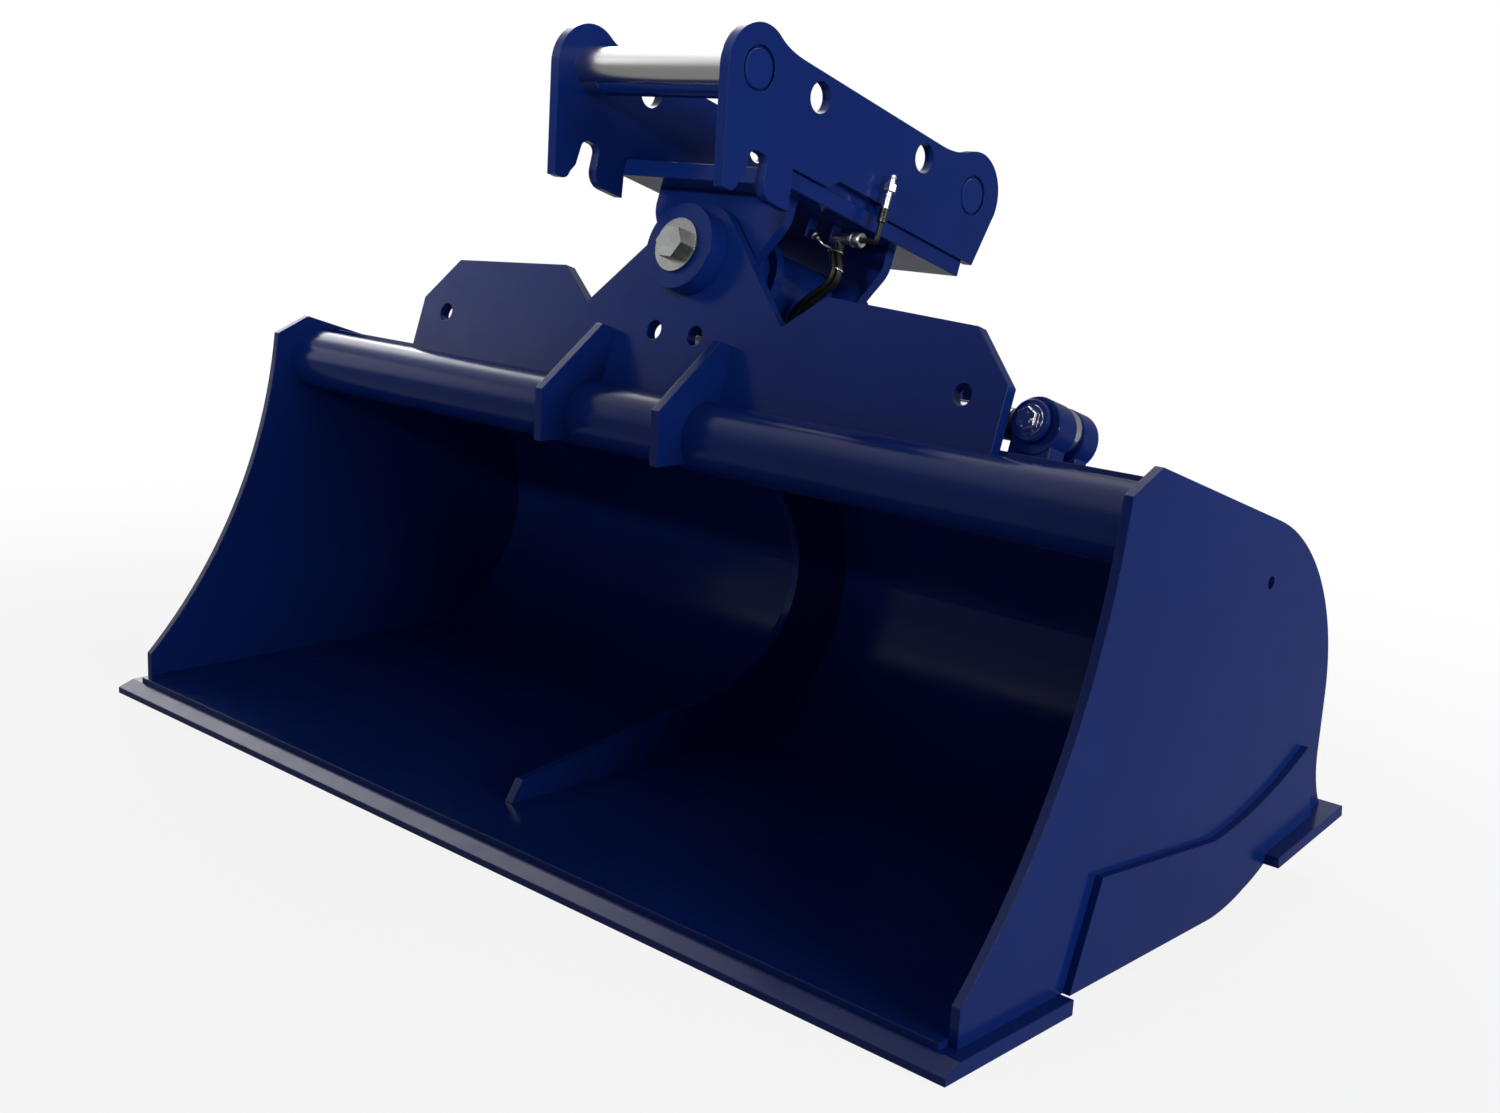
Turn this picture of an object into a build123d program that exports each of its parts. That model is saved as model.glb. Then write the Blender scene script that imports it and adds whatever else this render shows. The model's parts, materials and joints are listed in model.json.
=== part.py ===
# Tilt ditching bucket for an excavator.
# A wide, shallow bucket carries a tilting hitch on a leaning frame. The hitch swings on one pivot pin
# that runs from front to back, and one hydraulic cylinder behind the front frame plate drives it.
# Millimetres, +Z up, +X along the width, +Y from the mouth to the back of the bucket.
# Origin: middle of the cutting edge's front, on the ground.
from build123d import *
import os
from math import acos, atan2, cos, degrees, hypot, radians, sin, sqrt, tan

os.makedirs("parts", exist_ok=True)

# Bucket body
side_width = 1400.0        # over the outer faces of the side plates
side_thick = 10.0
shell_thick = 8.0
shell_inset = 5.5          # side plates stand this far proud of the shell at the back and on the deck
bucket_depth = 702.0       # cutting edge front to the back of the shell
heel_radius = 200.0        # outer radius of the lower back
back_radius = 230.0        # outer radius of the upper back
frame_lean = 17.5          # degrees that the deck and the tilt axis fall towards the back

# Cutting edge, heel blade and wear parts
edge_overhang = 15.0       # cutting edge beyond the side plates
edge_depth = 200.0
edge_thick = 16.0
edge_land = 8.0
bevel_depth = 22.0
rib_thick = 12.0
rib_nose_y = 104.0         # front end of the rib on the floor
rib_nose_length = 16.0
rib_nose_rise = 26.0
rib_floor_reach = 102.0    # straight top of the rib ends this far ahead of the heel's centre
rib_floor_rise = 63.0
rib_deck_s = 140.0         # where the rib's inner edge meets the deck
rib_inner_edge = [(-28.0, -149.0), (-81.0, -64.0), (-84.0, 6.0), (-46.0, 69.0), (32.0, 115.0)]
gusset_thick = 12.0
gusset_left_x = -106.0
gusset_right_x = 94.0
gusset_reach = 78.5        # gusset ahead of the tube's centre
gusset_tail = 3.5
gusset_low = 28.0          # gusset below the tube's centre
gusset_nose = 36.0         # top of the gusset's upright front, above the tube's centre
gusset_rise = 110.0
gusset_slant = 16.5        # the slanted edge ends this far behind the tube's centre
gusset_foot = 30.0
heel_blade_overhang = 24.0
heel_blade_thick = 12.5
heel_blade_width = 151.0
heel_blade_slope = 9.5
heel_blade_lead = 81.5     # top front edge of the blade behind the heel's centre
heel_blade_z = 59.0
tail_start_z = 150.0       # the side plate's back edge is straight down to here
tail_reach = 221.0         # foot of the side plate's tail behind the heel's centre
wear_thick = 8.0
wear_gap = 3.0             # wear plate behind the cutting edge
wear_slant = 40.0
wear_height = 109.0
wear_dip_reach = 38.0      # lowest point of the swept top edge, ahead of the heel's centre
wear_dip_z = 105.0
wear_sweep_reach = 64.0
wear_sweep_z = 126.0
wear_tip_reach = 157.0
wear_tip_z = 166.0
wear_foot_reach = 186.0
wear_heel_lead = 32.0      # the wear plate's lower edge leaves the floor ahead of the heel's centre
wear_heel_reach = 38.0
wear_heel_rise = 15.0
skid_width = 60.0
skid_length = 296.0
skid_spacing = 450.0

# Side plate outline
mouth_front_y = 36.0
mouth_front_z = 55.0
brow_run = 49.4            # slanted top corner of the mouth
brow_drop = 22.2
scoop_y = 173.0            # the front edge is an arc through this point
scoop_z = 250.0
crown_y = 291.0            # front end of the level top edge
side_hole_dia = 14.0
side_hole_y = 536.0
side_hole_z = 370.0

# Torsion tube across the top of the mouth
tube_dia = 82.0
tube_wall = 8.0
tube_s = -5.0

# Tilt frame, in its own leaning axes: x along the width, s along the tilt axis, h square to both
pivot_y = 372.7            # tilt axis where it meets the front face of the front plate
pivot_over_plate = 159.775 # tilt axis above the side plates' top edge
frame_plate = 15.0
frame_length = 253.0       # front face of the front plate to the rear face of the rear plate
frame_half = 485.0
frame_chamfer_x = 55.0
frame_chamfer_h = 57.0
rear_plate_half = 300.0
hump_outer_h = -44.0
hump_inner_h = -33.0
hump_inner_x = 219.0
notch_x = 163.0
ear_radius = 62.0
frame_foot = 20.0          # the front plate's foot over the tube's centre
access_hole_dia = 24.0
wing_hole_x = 432.0
wing_hole_h = -117.0
centre_hole_x = 34.5
centre_hole_h = -98.6

# Pivot
pivot_pin_dia = 50.0
collar_dia = 104.0
collar_length = 30.0
rear_collar_length = 12.0
pivot_washer_dia = 65.0
pivot_washer_thick = 5.0
pivot_bolt_flats = 36.0
pivot_bolt_head = 13.0
pivot_bolt_dia = 24.0
pivot_bolt_length = 60.0
run_fit = 0.1              # radial clearance of pins and bushes that turn
weld_gap = 0.2             # gap left where a plate is cut to a round surface

# Hitch
pin_dia = 45.0
pin_centres = 430.0
front_pin_s = -120.0
pin_h = 183.0
cheek_outer = 145.0
cheek_thick = 12.5
cheek_boss = 49.0
cheek_top_h = 218.5
base_bottom_h = 82.0
base_thick = 20.0
base_front_s = -20.0
base_rear_s = 327.0
lift_hole_dia = 30.0
lift_hole_front_s = -14.0
lift_hole_rear_s = 196.0
lift_hole_h = 190.0
saddle_shift_s = 11.3      # backing bar behind and below the front pin
saddle_shift_h = -7.6
saddle_gap = 0.3
saddle_end = 28.0
pin_ring = 2.0             # ring groove round the ends of the hitch pins
pin_ring_depth = 1.5
cheek_lean = 18.5
cheek_rear_angle = -9.0
arch_front_s = 38.0        # raised arch in the cheek over the base plate
arch_rear_s = 152.0
arch_rise = 13.0
arch_ramp_front = 18.0
arch_ramp_rear = 12.0
cheek_tail_s = 345.0
hook_low_h = 52.0
hook_rear_run = 34.0
hook_round = 25.0
notch_lead = 3.0           # the locking notch leans this far ahead of the hook's tip
notch_wide = 14.0
notch_high_h = 89.5
leg_slant = 7.0
toe_round = 11.0
leg_low_h = 46.5
leg_toe = 34.0
lug_thick = 15.0
lug_corner_h = 52.0
lug_corner_round = 40.0
lug_half = 108.0
lug_gap = 5.0
thrust_play = 0.2
hub_dia = 84.0
bush_wall = 5.0
bush_length = 60.0
tilt_limit = 45.0

# Tilt cylinder and its lever
lever_radius = 110.0
lever_thick = 14.0
lever_pin_dia = 28.0
lever_eye_radius = 27.0
lever_hub_wall = 12.0
lever_pin_head = 10.0      # head of the lever pin, over its diameter
lever_pin_end = 4.0
cylinder_s = 77.0
cylinder_h = -128.5
rod_eye_x = 505.0
rod_dia = 35.0
rod_eye_radius = 23.0
rod_eye_width = 18.0
rod_bush_wall = 4.0
rod_pin_dia = 28.0
barrel_dia = 66.0
barrel_bore = 52.0
barrel_start = 50.0
barrel_end = 330.0
gland_length = 30.0
gland_dia = 72.0
piston_length = 30.0
piston_x = 190.0
link_width = 24.0
slot_side_play = 3.2
slot_end_play = 2.0
link_wall = 15.0
link_chamfer = 12.0
link_shoulder_h = -88.0
side_play = 0.4
bracket_radius = 28.0
bracket_foot_half = 22.0
front_ear_thick = 33.0
rear_ear_thick = 27.0
rod_pin_head = 12.0
rod_pin_flange = 5.0
rod_pin_flange_dia = 34.0
rod_collar_dia = 40.0
rod_collar_length = 9.0
rod_pin_end = 14.0
barrel_floor = 16.0
port_inset_near = 30.0
port_inset_far = 24.0
port_boss_dia = 26.0
port_boss_rise = 7.0
port_bore = 9.0
port_nut_length = 9.0
port_reach = 16.0
gland_plug = 18.0          # part of the gland inside the barrel
wiper_wall = 6.0
wiper_depth = 6.0
wiper_lip = 2.0
seal_groove = 10.0
seal_groove_depth = 4.0

# Hydraulic hoses and fittings
union_flats = 20.0
hose_dia = 13.0
sleeve_ring_length = 12.0
sleeve_socket = 8.0
second_reach = 26.0        # second union from the hoses' drop to its outer end
second_nut_flats = 16.0
second_nut_length = 9.0
clip_width = 22.0
clip_thick = 8.0
clip_drop = 10.0
coupling_stem_length = 20.0
coupling_nut_flats = 13.0
coupling_nut_length = 10.0
block_chamfer = 3.0
ferrule_dia = 13.0
coupling_stem_dia = 9.5
coupling_nipple_dia = 7.0
coupling_nipple_length = 11.0

lean = radians(frame_lean)
half = side_width / 2
inner_half = half - side_thick
heel_centre_y = bucket_depth - heel_radius
heel_centre_z = edge_thick + heel_radius
back_centre_y = bucket_depth - back_radius
deck_y = back_centre_y + back_radius * sin(lean)
deck_z = heel_centre_z + back_radius * cos(lean)
crown_z = deck_z + (deck_y - crown_y) * tan(lean)
brow_y = crown_y - brow_run
brow_z = crown_z - brow_drop
pivot_z = deck_z + (deck_y - pivot_y) * tan(lean) + pivot_over_plate / cos(lean)
deck_h = -pivot_over_plate - shell_inset
shell_back = bucket_depth - shell_inset
shell_heel_y = shell_back - heel_radius
tube_radius = tube_dia / 2
tube_h = deck_h - shell_thick - tube_radius
cheek_inner = cheek_outer - cheek_thick
base_top_h = base_bottom_h + base_thick
rear_pin_s = front_pin_s + pin_centres
rear_plate_s = frame_length - frame_plate
front_lug_s = frame_plate + lug_gap
rear_lug_s = rear_plate_s - lug_gap - lug_thick
hub_length = rear_lug_s + lug_thick - front_lug_s
edge_half = half + edge_overhang
blade_half = half + heel_blade_overhang
blade_front_y = heel_centre_y + heel_blade_lead


def tilted(shape):
    """Move a shape from the leaning frame axes (x, s, h) to the bucket's axes."""
    return Location((0, pivot_y, pivot_z), (-frame_lean, 0, 0)) * shape


def untilt_point(y, z):
    """Give the leaning frame's s and h of a point of the bucket."""
    dy = y - pivot_y
    dz = z - pivot_z
    return dy * cos(lean) - dz * sin(lean), dy * sin(lean) + dz * cos(lean)


def tilt_point(s, h):
    """Give the bucket's y and z of a point of the leaning frame."""
    return pivot_y + s * cos(lean) + h * sin(lean), pivot_z - s * sin(lean) + h * cos(lean)


def slab_x(face, x0, x1):
    """Extrude a face drawn in (y, z) from x0 to x1."""
    return Pos(x0, 0, 0) * extrude(Plane.YZ * face, amount=x1 - x0)


def slab_s(face, s0, s1):
    """Extrude a face drawn in (x, h) from s0 to s1."""
    return Pos(0, s1, 0) * extrude(Plane.XZ * face, amount=s1 - s0)


def round_x(dia, x0, x1, y, z):
    """Round bar along x."""
    return Pos((x0 + x1) / 2, y, z) * Rot(0, 90, 0) * Cylinder(dia / 2, x1 - x0)


def round_s(dia, s0, s1, x, h):
    """Round bar along s."""
    return Pos(x, (s0 + s1) / 2, h) * Rot(90, 0, 0) * Cylinder(dia / 2, s1 - s0)


def round_z(dia, z0, z1, x, y):
    """Round bar along z."""
    return Pos(x, y, (z0 + z1) / 2) * Cylinder(dia / 2, z1 - z0)


def block(x0, x1, y0, y1, z0, z1):
    """Box between two corners."""
    return Pos((x0 + x1) / 2, (y0 + y1) / 2, (z0 + z1) / 2) * Box(x1 - x0, y1 - y0, z1 - z0)


def polygon(points):
    """Face with straight sides through the points."""
    return make_face(Polyline(*points, close=True))


def on_circle(cx, cy, radius, angle):
    """Point of a circle at an angle in degrees."""
    return cx + radius * cos(radians(angle)), cy + radius * sin(radians(angle))


def blade_top(y):
    """Height of the heel blade's upper face at y."""
    return heel_blade_z + (y - blade_front_y) * tan(radians(heel_blade_slope))


def blade_meets_heel():
    """Point where the heel blade's upper face meets the side plate's heel arc, found by halving."""
    near = heel_centre_y
    far = heel_centre_y + heel_radius
    for _ in range(40):
        middle = (near + far) / 2
        arc_z = heel_centre_z - sqrt(heel_radius ** 2 - (middle - heel_centre_y) ** 2)
        if arc_z < blade_top(middle):
            near = middle
        else:
            far = middle
    return near, blade_top(near)


def heel_outline():
    """Heel of a side plate: down the back, out along the tail, forward on the blade and round the heel."""
    start = (bucket_depth, tail_start_z)
    foot_y = heel_centre_y + tail_reach
    foot = (foot_y, blade_top(foot_y) + weld_gap)
    meet_y, meet_z = blade_meets_heel()
    meet = (meet_y, meet_z + weld_gap)
    meet_angle = degrees(atan2(meet_z - heel_centre_z, meet_y - heel_centre_y))
    under = on_circle(heel_centre_y, heel_centre_z, heel_radius, (meet_angle - 90) / 2)
    Line((bucket_depth, heel_centre_z), start)
    TangentArc(start, foot, tangent=(0, -1))
    Line(foot, meet)
    ThreePointArc(meet, under, (heel_centre_y, edge_thick))


def side_face():
    """Side plate, seen from the side: mouth, deck, back, heel and floor."""
    floor_z = edge_thick
    back_mid = on_circle(back_centre_y, heel_centre_z, back_radius, (90 - frame_lean) / 2)
    with BuildSketch() as sketch:
        with BuildLine():
            Line((mouth_front_y, floor_z), (mouth_front_y, mouth_front_z))
            ThreePointArc((mouth_front_y, mouth_front_z), (scoop_y, scoop_z), (brow_y, brow_z))
            Line((brow_y, brow_z), (crown_y, crown_z))
            Line((crown_y, crown_z), (deck_y, deck_z))
            ThreePointArc((deck_y, deck_z), back_mid, (bucket_depth, heel_centre_z))
            heel_outline()
            Line((heel_centre_y, floor_z), (mouth_front_y, floor_z))
        make_face()
    return sketch.face()


def arc_points(radius_change, angle_heel, angle_back):
    """Points on the shell's heel and back arcs, moved in or out by a change of radius."""
    heel = on_circle(shell_heel_y, heel_centre_z, heel_radius + radius_change, angle_heel)
    back = on_circle(back_centre_y, heel_centre_z, back_radius - shell_inset + radius_change, angle_back)
    return heel, back


def shell_face(depth, front_y, deck_front_s):
    """Band between the shell's outer line and the line that lies the given depth inside it."""
    floor_z = edge_thick
    back_angle = 90 - frame_lean
    outer_mids = arc_points(0, -45, back_angle / 2)
    outer_ends = arc_points(0, 0, back_angle)
    inner_mids = arc_points(-depth, -45, back_angle / 2)
    inner_ends = arc_points(-depth, 0, back_angle)
    with BuildSketch() as sketch:
        with BuildLine():
            Line((front_y, floor_z), (shell_heel_y, floor_z))
            ThreePointArc((shell_heel_y, floor_z), outer_mids[0], (shell_back, heel_centre_z))
            ThreePointArc((shell_back, heel_centre_z), outer_mids[1], outer_ends[1])
            Line(outer_ends[1], tilt_point(deck_front_s, deck_h))
            Line(tilt_point(deck_front_s, deck_h), tilt_point(deck_front_s, deck_h - depth))
            Line(tilt_point(deck_front_s, deck_h - depth), inner_ends[1])
            ThreePointArc(inner_ends[1], inner_mids[1], (shell_back - depth, heel_centre_z))
            ThreePointArc((shell_back - depth, heel_centre_z), inner_mids[0],
                          (shell_heel_y, floor_z + depth))
            Line((shell_heel_y, floor_z + depth), (front_y, floor_z + depth))
            Line((front_y, floor_z + depth), (front_y, floor_z))
        make_face()
    return sketch.face()


def back_solid(grow, span):
    """Solid round bar where the shell's upper back lies, grown a little on the radius."""
    return round_x(2 * (back_radius - shell_inset + grow), -span, span, back_centre_y, heel_centre_z)


def tube_solid(grow, x0, x1):
    """Solid round bar where the torsion tube lies, grown by a little on the radius."""
    y, z = tilt_point(tube_s, tube_h)
    return round_x(tube_dia + 2 * grow, x0, x1, y, z)


def cutting_edge():
    """Flat bar with a bevel on top along its front."""
    face = polygon([(0, 0), (edge_depth, 0), (edge_depth, edge_thick),
                    (bevel_depth, edge_thick), (0, edge_land)])
    return slab_x(face, -edge_half, edge_half)


def shell_plate():
    """Rolled plate: floor, heel, back and deck, with its front lip turned down on to the tube."""
    band = slab_x(shell_face(shell_thick, bevel_depth, frame_plate), -inner_half, inner_half)
    lip_s = frame_plate + shell_thick
    lip = tilted(block(-inner_half, inner_half, frame_plate, lip_s, deck_h - 2 * shell_thick, deck_h))
    return (band + lip) - tube_solid(weld_gap, -half, half)


def side_plate(sign):
    """Side plate with its drain hole."""
    x0 = inner_half if sign > 0 else -half
    plate = slab_x(side_face(), x0, x0 + side_thick)
    return plate - round_x(side_hole_dia, -half - 1, half + 1, side_hole_y, side_hole_z)


def blade_bar(grow):
    """Whole bar of the heel blade before it is coped, grown by a little on every face."""
    span = blade_half + grow
    bar = block(-span, span, -grow, heel_blade_width + grow, -heel_blade_thick - grow, grow)
    return Pos(0, blade_front_y, heel_blade_z) * Rot(heel_blade_slope, 0, 0) * bar


def side_wear_plate(sign):
    """Wear plate on the foot of a side plate, with its top edge swept up along the heel."""
    floor_z = edge_thick
    front_y = edge_depth + wear_gap
    dip = (heel_centre_y - wear_dip_reach, wear_dip_z)
    sweep_mid = (heel_centre_y + wear_sweep_reach, wear_sweep_z)
    tip = (heel_centre_y + wear_tip_reach, wear_tip_z)
    foot_y = heel_centre_y + wear_foot_reach
    foot = (foot_y, blade_top(foot_y))
    leave = (heel_centre_y - wear_heel_lead, floor_z)
    under = (heel_centre_y + wear_heel_reach, floor_z + wear_heel_rise)
    meet = (blade_front_y, heel_blade_z - heel_blade_thick / 2)
    with BuildSketch() as sketch:
        with BuildLine():
            Line((front_y, floor_z), (front_y + wear_slant, floor_z + wear_height))
            Line((front_y + wear_slant, floor_z + wear_height), dip)
            ThreePointArc(dip, sweep_mid, tip)
            Line(tip, foot)
            Line(foot, meet)
            ThreePointArc(meet, under, leave)
            Line(leave, (front_y, floor_z))
        make_face()
    x0 = half if sign > 0 else -half - wear_thick
    return slab_x(sketch.face(), x0, x0 + wear_thick) - blade_bar(weld_gap)


def torsion_tube():
    """Round tube between the side plates."""
    y, z = tilt_point(tube_s, tube_h)
    outer = round_x(tube_dia, -inner_half, inner_half, y, z)
    return outer - round_x(tube_dia - 2 * tube_wall, -inner_half, inner_half, y, z)


def heel_blade():
    """Flat blade along the heel, coped to the shell and to the side plates."""
    cope = 2 * (heel_radius + weld_gap)
    blade = blade_bar(0)
    blade -= round_x(cope, -inner_half, inner_half, shell_heel_y, heel_centre_z)
    for x0, x1 in ((-half - weld_gap, -inner_half), (inner_half, half + weld_gap)):
        blade -= round_x(cope, x0, x1, heel_centre_y, heel_centre_z)
    return blade


def skid_bars():
    """Three flat bars under the floor, level with the cutting edge."""
    bars = []
    for x in (-skid_spacing, 0, skid_spacing):
        bars.append(block(x - skid_width / 2, x + skid_width / 2, edge_depth,
                          edge_depth + skid_length, 0, edge_thick))
    return Compound(children=bars)


def centre_rib():
    """Crescent rib inside the shell, along the floor and up the back."""
    floor_in = edge_thick + shell_thick
    back_angle = 90 - frame_lean
    mids = arc_points(-shell_thick, -45, back_angle / 2)
    ends = arc_points(-shell_thick, 0, back_angle)
    deck_in = tilt_point(rib_deck_s, deck_h - shell_thick)
    back = shell_back - shell_thick
    nose_top = (rib_nose_y + rib_nose_length, floor_in + rib_nose_rise)
    floor_end = (heel_centre_y - rib_floor_reach, floor_in + rib_floor_rise)
    heel_points = [(heel_centre_y - rib_reach, heel_centre_z - rib_fall) for rib_reach, rib_fall in rib_inner_edge]
    with BuildSketch() as sketch:
        with BuildLine():
            Line((rib_nose_y, floor_in), (shell_heel_y, floor_in))
            ThreePointArc((shell_heel_y, floor_in), mids[0], (back, heel_centre_z))
            ThreePointArc((back, heel_centre_z), mids[1], ends[1])
            Line(ends[1], deck_in)
            Spline(deck_in, *heel_points, floor_end, tangents=((1, -0.8), (-1, -0.13)))
            Line(floor_end, nose_top)
            Line(nose_top, (rib_nose_y, floor_in))
        make_face()
    return slab_x(sketch.face(), -rib_thick / 2, rib_thick / 2)


def tube_gusset(x):
    """Chamfered gusset that grips the front of the tube and stands against the front plate."""
    tube_y, tube_z = tilt_point(tube_s, tube_h)
    front_y = tube_y - gusset_reach
    low_z = tube_z - gusset_low
    top_front = (tube_y + gusset_slant, tube_z + gusset_rise)
    top_h = untilt_point(*top_front)[1]
    face = polygon([(front_y, low_z), (front_y, tube_z + gusset_nose), top_front, tilt_point(0, top_h),
                    tilt_point(0, deck_h - gusset_foot), (tube_y - gusset_tail, low_z)])
    plate = slab_x(face, x - gusset_thick / 2, x + gusset_thick / 2)
    return plate - tube_solid(weld_gap, -half, half)


def ear_outline(half_width, chamfer_x, chamfer_h, bottom_h):
    """Frame plate seen along the tilt axis: wings, V notches and the round ear of the pivot."""
    touch = ear_radius / sqrt(2)
    notch_h = -(notch_x - 2 * touch)
    with BuildSketch() as sketch:
        with BuildLine():
            for side in (1, -1):
                Line((side * touch, touch), (side * notch_x, notch_h))
                Line((side * notch_x, notch_h), (side * hump_inner_x, hump_inner_h))
                Line((side * hump_inner_x, hump_inner_h), (side * (half_width - chamfer_x), hump_outer_h))
                Line((side * (half_width - chamfer_x), hump_outer_h),
                     (side * half_width, hump_outer_h - chamfer_h))
                Line((side * half_width, hump_outer_h - chamfer_h), (side * half_width, bottom_h))
            ThreePointArc((-touch, touch), (0, ear_radius), (touch, touch))
            Line((-half_width, bottom_h), (half_width, bottom_h))
        make_face()
    return sketch.face()


def frame_front_plate():
    """Leaning plate that stands on the tube and carries the front of the pivot."""
    plate = slab_s(ear_outline(frame_half, frame_chamfer_x, frame_chamfer_h, tube_h + frame_foot), 0, frame_plate)
    plate -= round_s(pivot_pin_dia + 2 * run_fit, -1, frame_plate + 1, 0, 0)
    for x in (-wing_hole_x, wing_hole_x):
        plate -= round_s(access_hole_dia, -1, frame_plate + 1, x, wing_hole_h)
    for x in (-centre_hole_x, centre_hole_x):
        plate -= round_s(access_hole_dia, -1, frame_plate + 1, x, centre_hole_h)
    return tilted(plate) - tube_solid(weld_gap, -half, half)


def frame_rear_plate():
    """Rear plate of the frame, cut to the curve of the shell."""
    foot_h = deck_h - shell_thick
    outline = ear_outline(rear_plate_half, frame_chamfer_x, frame_chamfer_h, foot_h)
    plate = slab_s(outline, rear_plate_s, frame_length)
    plate -= round_s(pivot_pin_dia + 2 * run_fit, rear_plate_s - 1, frame_length + 1, 0, 0)
    deck_end_s = untilt_point(deck_y, deck_z)[0]
    deck = block(-half, half, 0, deck_end_s, foot_h - 1, deck_h + weld_gap)
    return tilted(plate) - tilted(deck) - back_solid(weld_gap, half)


def pivot_collar(s0, s1):
    """Thick ring welded round the pivot pin."""
    ring = round_s(collar_dia, s0, s1, 0, 0)
    return tilted(ring - round_s(pivot_pin_dia + 2 * run_fit, s0 - 1, s1 + 1, 0, 0))


def pivot_pin():
    """Pivot pin, tapped at both ends for its bolts."""
    s0 = -collar_length
    s1 = frame_length + rear_collar_length
    pin = round_s(pivot_pin_dia, s0, s1, 0, 0)
    pin -= round_s(pivot_bolt_dia, s0, s0 + pivot_bolt_length, 0, 0)
    pin -= round_s(pivot_bolt_dia, s1 - pivot_bolt_length, s1, 0, 0)
    return tilted(pin)


def pivot_washer(front):
    """Washer over one end of the pivot pin."""
    face = -collar_length if front else frame_length + rear_collar_length
    s0 = face - pivot_washer_thick if front else face
    ring = round_s(pivot_washer_dia, s0, s0 + pivot_washer_thick, 0, 0)
    return tilted(ring - round_s(pivot_bolt_dia, s0 - 1, s0 + pivot_washer_thick + 1, 0, 0))


def pivot_bolt(front):
    """Hexagon bolt screwed into the end of the pivot pin."""
    face = -collar_length - pivot_washer_thick if front else frame_length + rear_collar_length + pivot_washer_thick
    reach = pivot_washer_thick + pivot_bolt_length - 4
    hexagon = RegularPolygon(pivot_bolt_flats / 2, 6, major_radius=False)
    if front:
        head = slab_s(hexagon, face - pivot_bolt_head, face)
        shank = round_s(pivot_bolt_dia - 2 * run_fit, face, face + reach, 0, 0)
    else:
        head = slab_s(hexagon, face, face + pivot_bolt_head)
        shank = round_s(pivot_bolt_dia - 2 * run_fit, face - reach, face, 0, 0)
    return tilted(head + shank)


def rounded_ear():
    """Round bracket ear on a narrower foot."""
    foot = Pos(rod_eye_x, (cylinder_h + deck_h) / 2) * Rectangle(2 * bracket_foot_half, cylinder_h - deck_h)
    return Pos(rod_eye_x, cylinder_h) * Circle(bracket_radius) + foot


front_ear_s0 = cylinder_s - rod_eye_width / 2 - side_play - front_ear_thick
front_ear_s1 = cylinder_s - rod_eye_width / 2 - side_play
rear_ear_s0 = cylinder_s + rod_eye_width / 2 + side_play
rear_ear_s1 = rear_ear_s0 + rear_ear_thick


def rod_bracket(s0, s1):
    """Bracket ear on the deck for the rod pin."""
    ear = slab_s(rounded_ear(), s0, s1)
    return tilted(ear - round_s(rod_pin_dia + 2 * run_fit, s0 - 1, s1 + 1, rod_eye_x, cylinder_h))


def rod_pin():
    """Pin through the bracket ears and the rod eye, with a stepped head in front."""
    head_s = front_ear_s0 - rod_pin_head
    pin = round_s(rod_pin_dia, head_s, rear_ear_s1 + rod_pin_end, rod_eye_x, cylinder_h)
    pin += round_s(rod_pin_flange_dia, head_s, head_s + rod_pin_flange, rod_eye_x, cylinder_h)
    return tilted(pin)


def rod_pin_collar():
    """Collar that keeps the rod pin in at the back."""
    end_s = rear_ear_s1 + rod_collar_length
    ring = round_s(rod_collar_dia, rear_ear_s1, end_s, rod_eye_x, cylinder_h)
    return tilted(ring - round_s(rod_pin_dia + 2 * run_fit, rear_ear_s1 - 1, end_s + 1, rod_eye_x, cylinder_h))


def cylinder_rod():
    """Chromed rod with its forged eye."""
    s0 = cylinder_s - rod_eye_width / 2
    s1 = cylinder_s + rod_eye_width / 2
    eye = round_s(2 * rod_eye_radius, s0, s1, rod_eye_x, cylinder_h)
    eye_bore = rod_pin_dia + 2 * (rod_bush_wall + run_fit)
    shoulder = rod_eye_x - bracket_radius - 4
    rod = round_x(rod_dia, piston_x - piston_length / 2, shoulder, cylinder_s, cylinder_h)
    neck = round_x(rod_dia, shoulder, rod_eye_x - rod_eye_radius / 2, cylinder_s, cylinder_h)
    neck &= block(shoulder, rod_eye_x, s0, s1, cylinder_h - rod_dia, cylinder_h + rod_dia)
    body = eye + rod + neck
    return tilted(body - round_s(eye_bore, s0 - 10, s1 + 10, rod_eye_x, cylinder_h))


def rod_eye_bush():
    """Plain bush in the rod eye."""
    s0 = cylinder_s - rod_eye_width / 2
    s1 = cylinder_s + rod_eye_width / 2
    outer = round_s(rod_pin_dia + 2 * (rod_bush_wall + run_fit) - 0.1, s0, s1, rod_eye_x, cylinder_h)
    return tilted(outer - round_s(rod_pin_dia + 2 * run_fit, s0 - 1, s1 + 1, rod_eye_x, cylinder_h))


def piston():
    """Piston on the end of the rod, with a groove for its seal."""
    x0 = piston_x - piston_length / 2
    x1 = piston_x + piston_length / 2
    outer = barrel_bore - 2 * run_fit
    ring = round_x(outer, x0, x1, cylinder_s, cylinder_h)
    groove = round_x(outer + 2, piston_x - seal_groove / 2, piston_x + seal_groove / 2, cylinder_s, cylinder_h)
    groove -= round_x(outer - 2 * seal_groove_depth, x0, x1, cylinder_s, cylinder_h)
    return tilted(ring - groove - round_x(rod_dia + run_fit, x0 - 1, x1 + 1, cylinder_s, cylinder_h))


def piston_seal():
    """Seal ring in the piston's groove."""
    outer = barrel_bore - 2 * run_fit
    reach = seal_groove / 2 - run_fit
    ring = round_x(outer, piston_x - reach, piston_x + reach, cylinder_s, cylinder_h)
    bore = outer - 2 * (seal_groove_depth - run_fit)
    return tilted(ring - round_x(bore, piston_x - seal_groove, piston_x + seal_groove, cylinder_s, cylinder_h))


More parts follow.
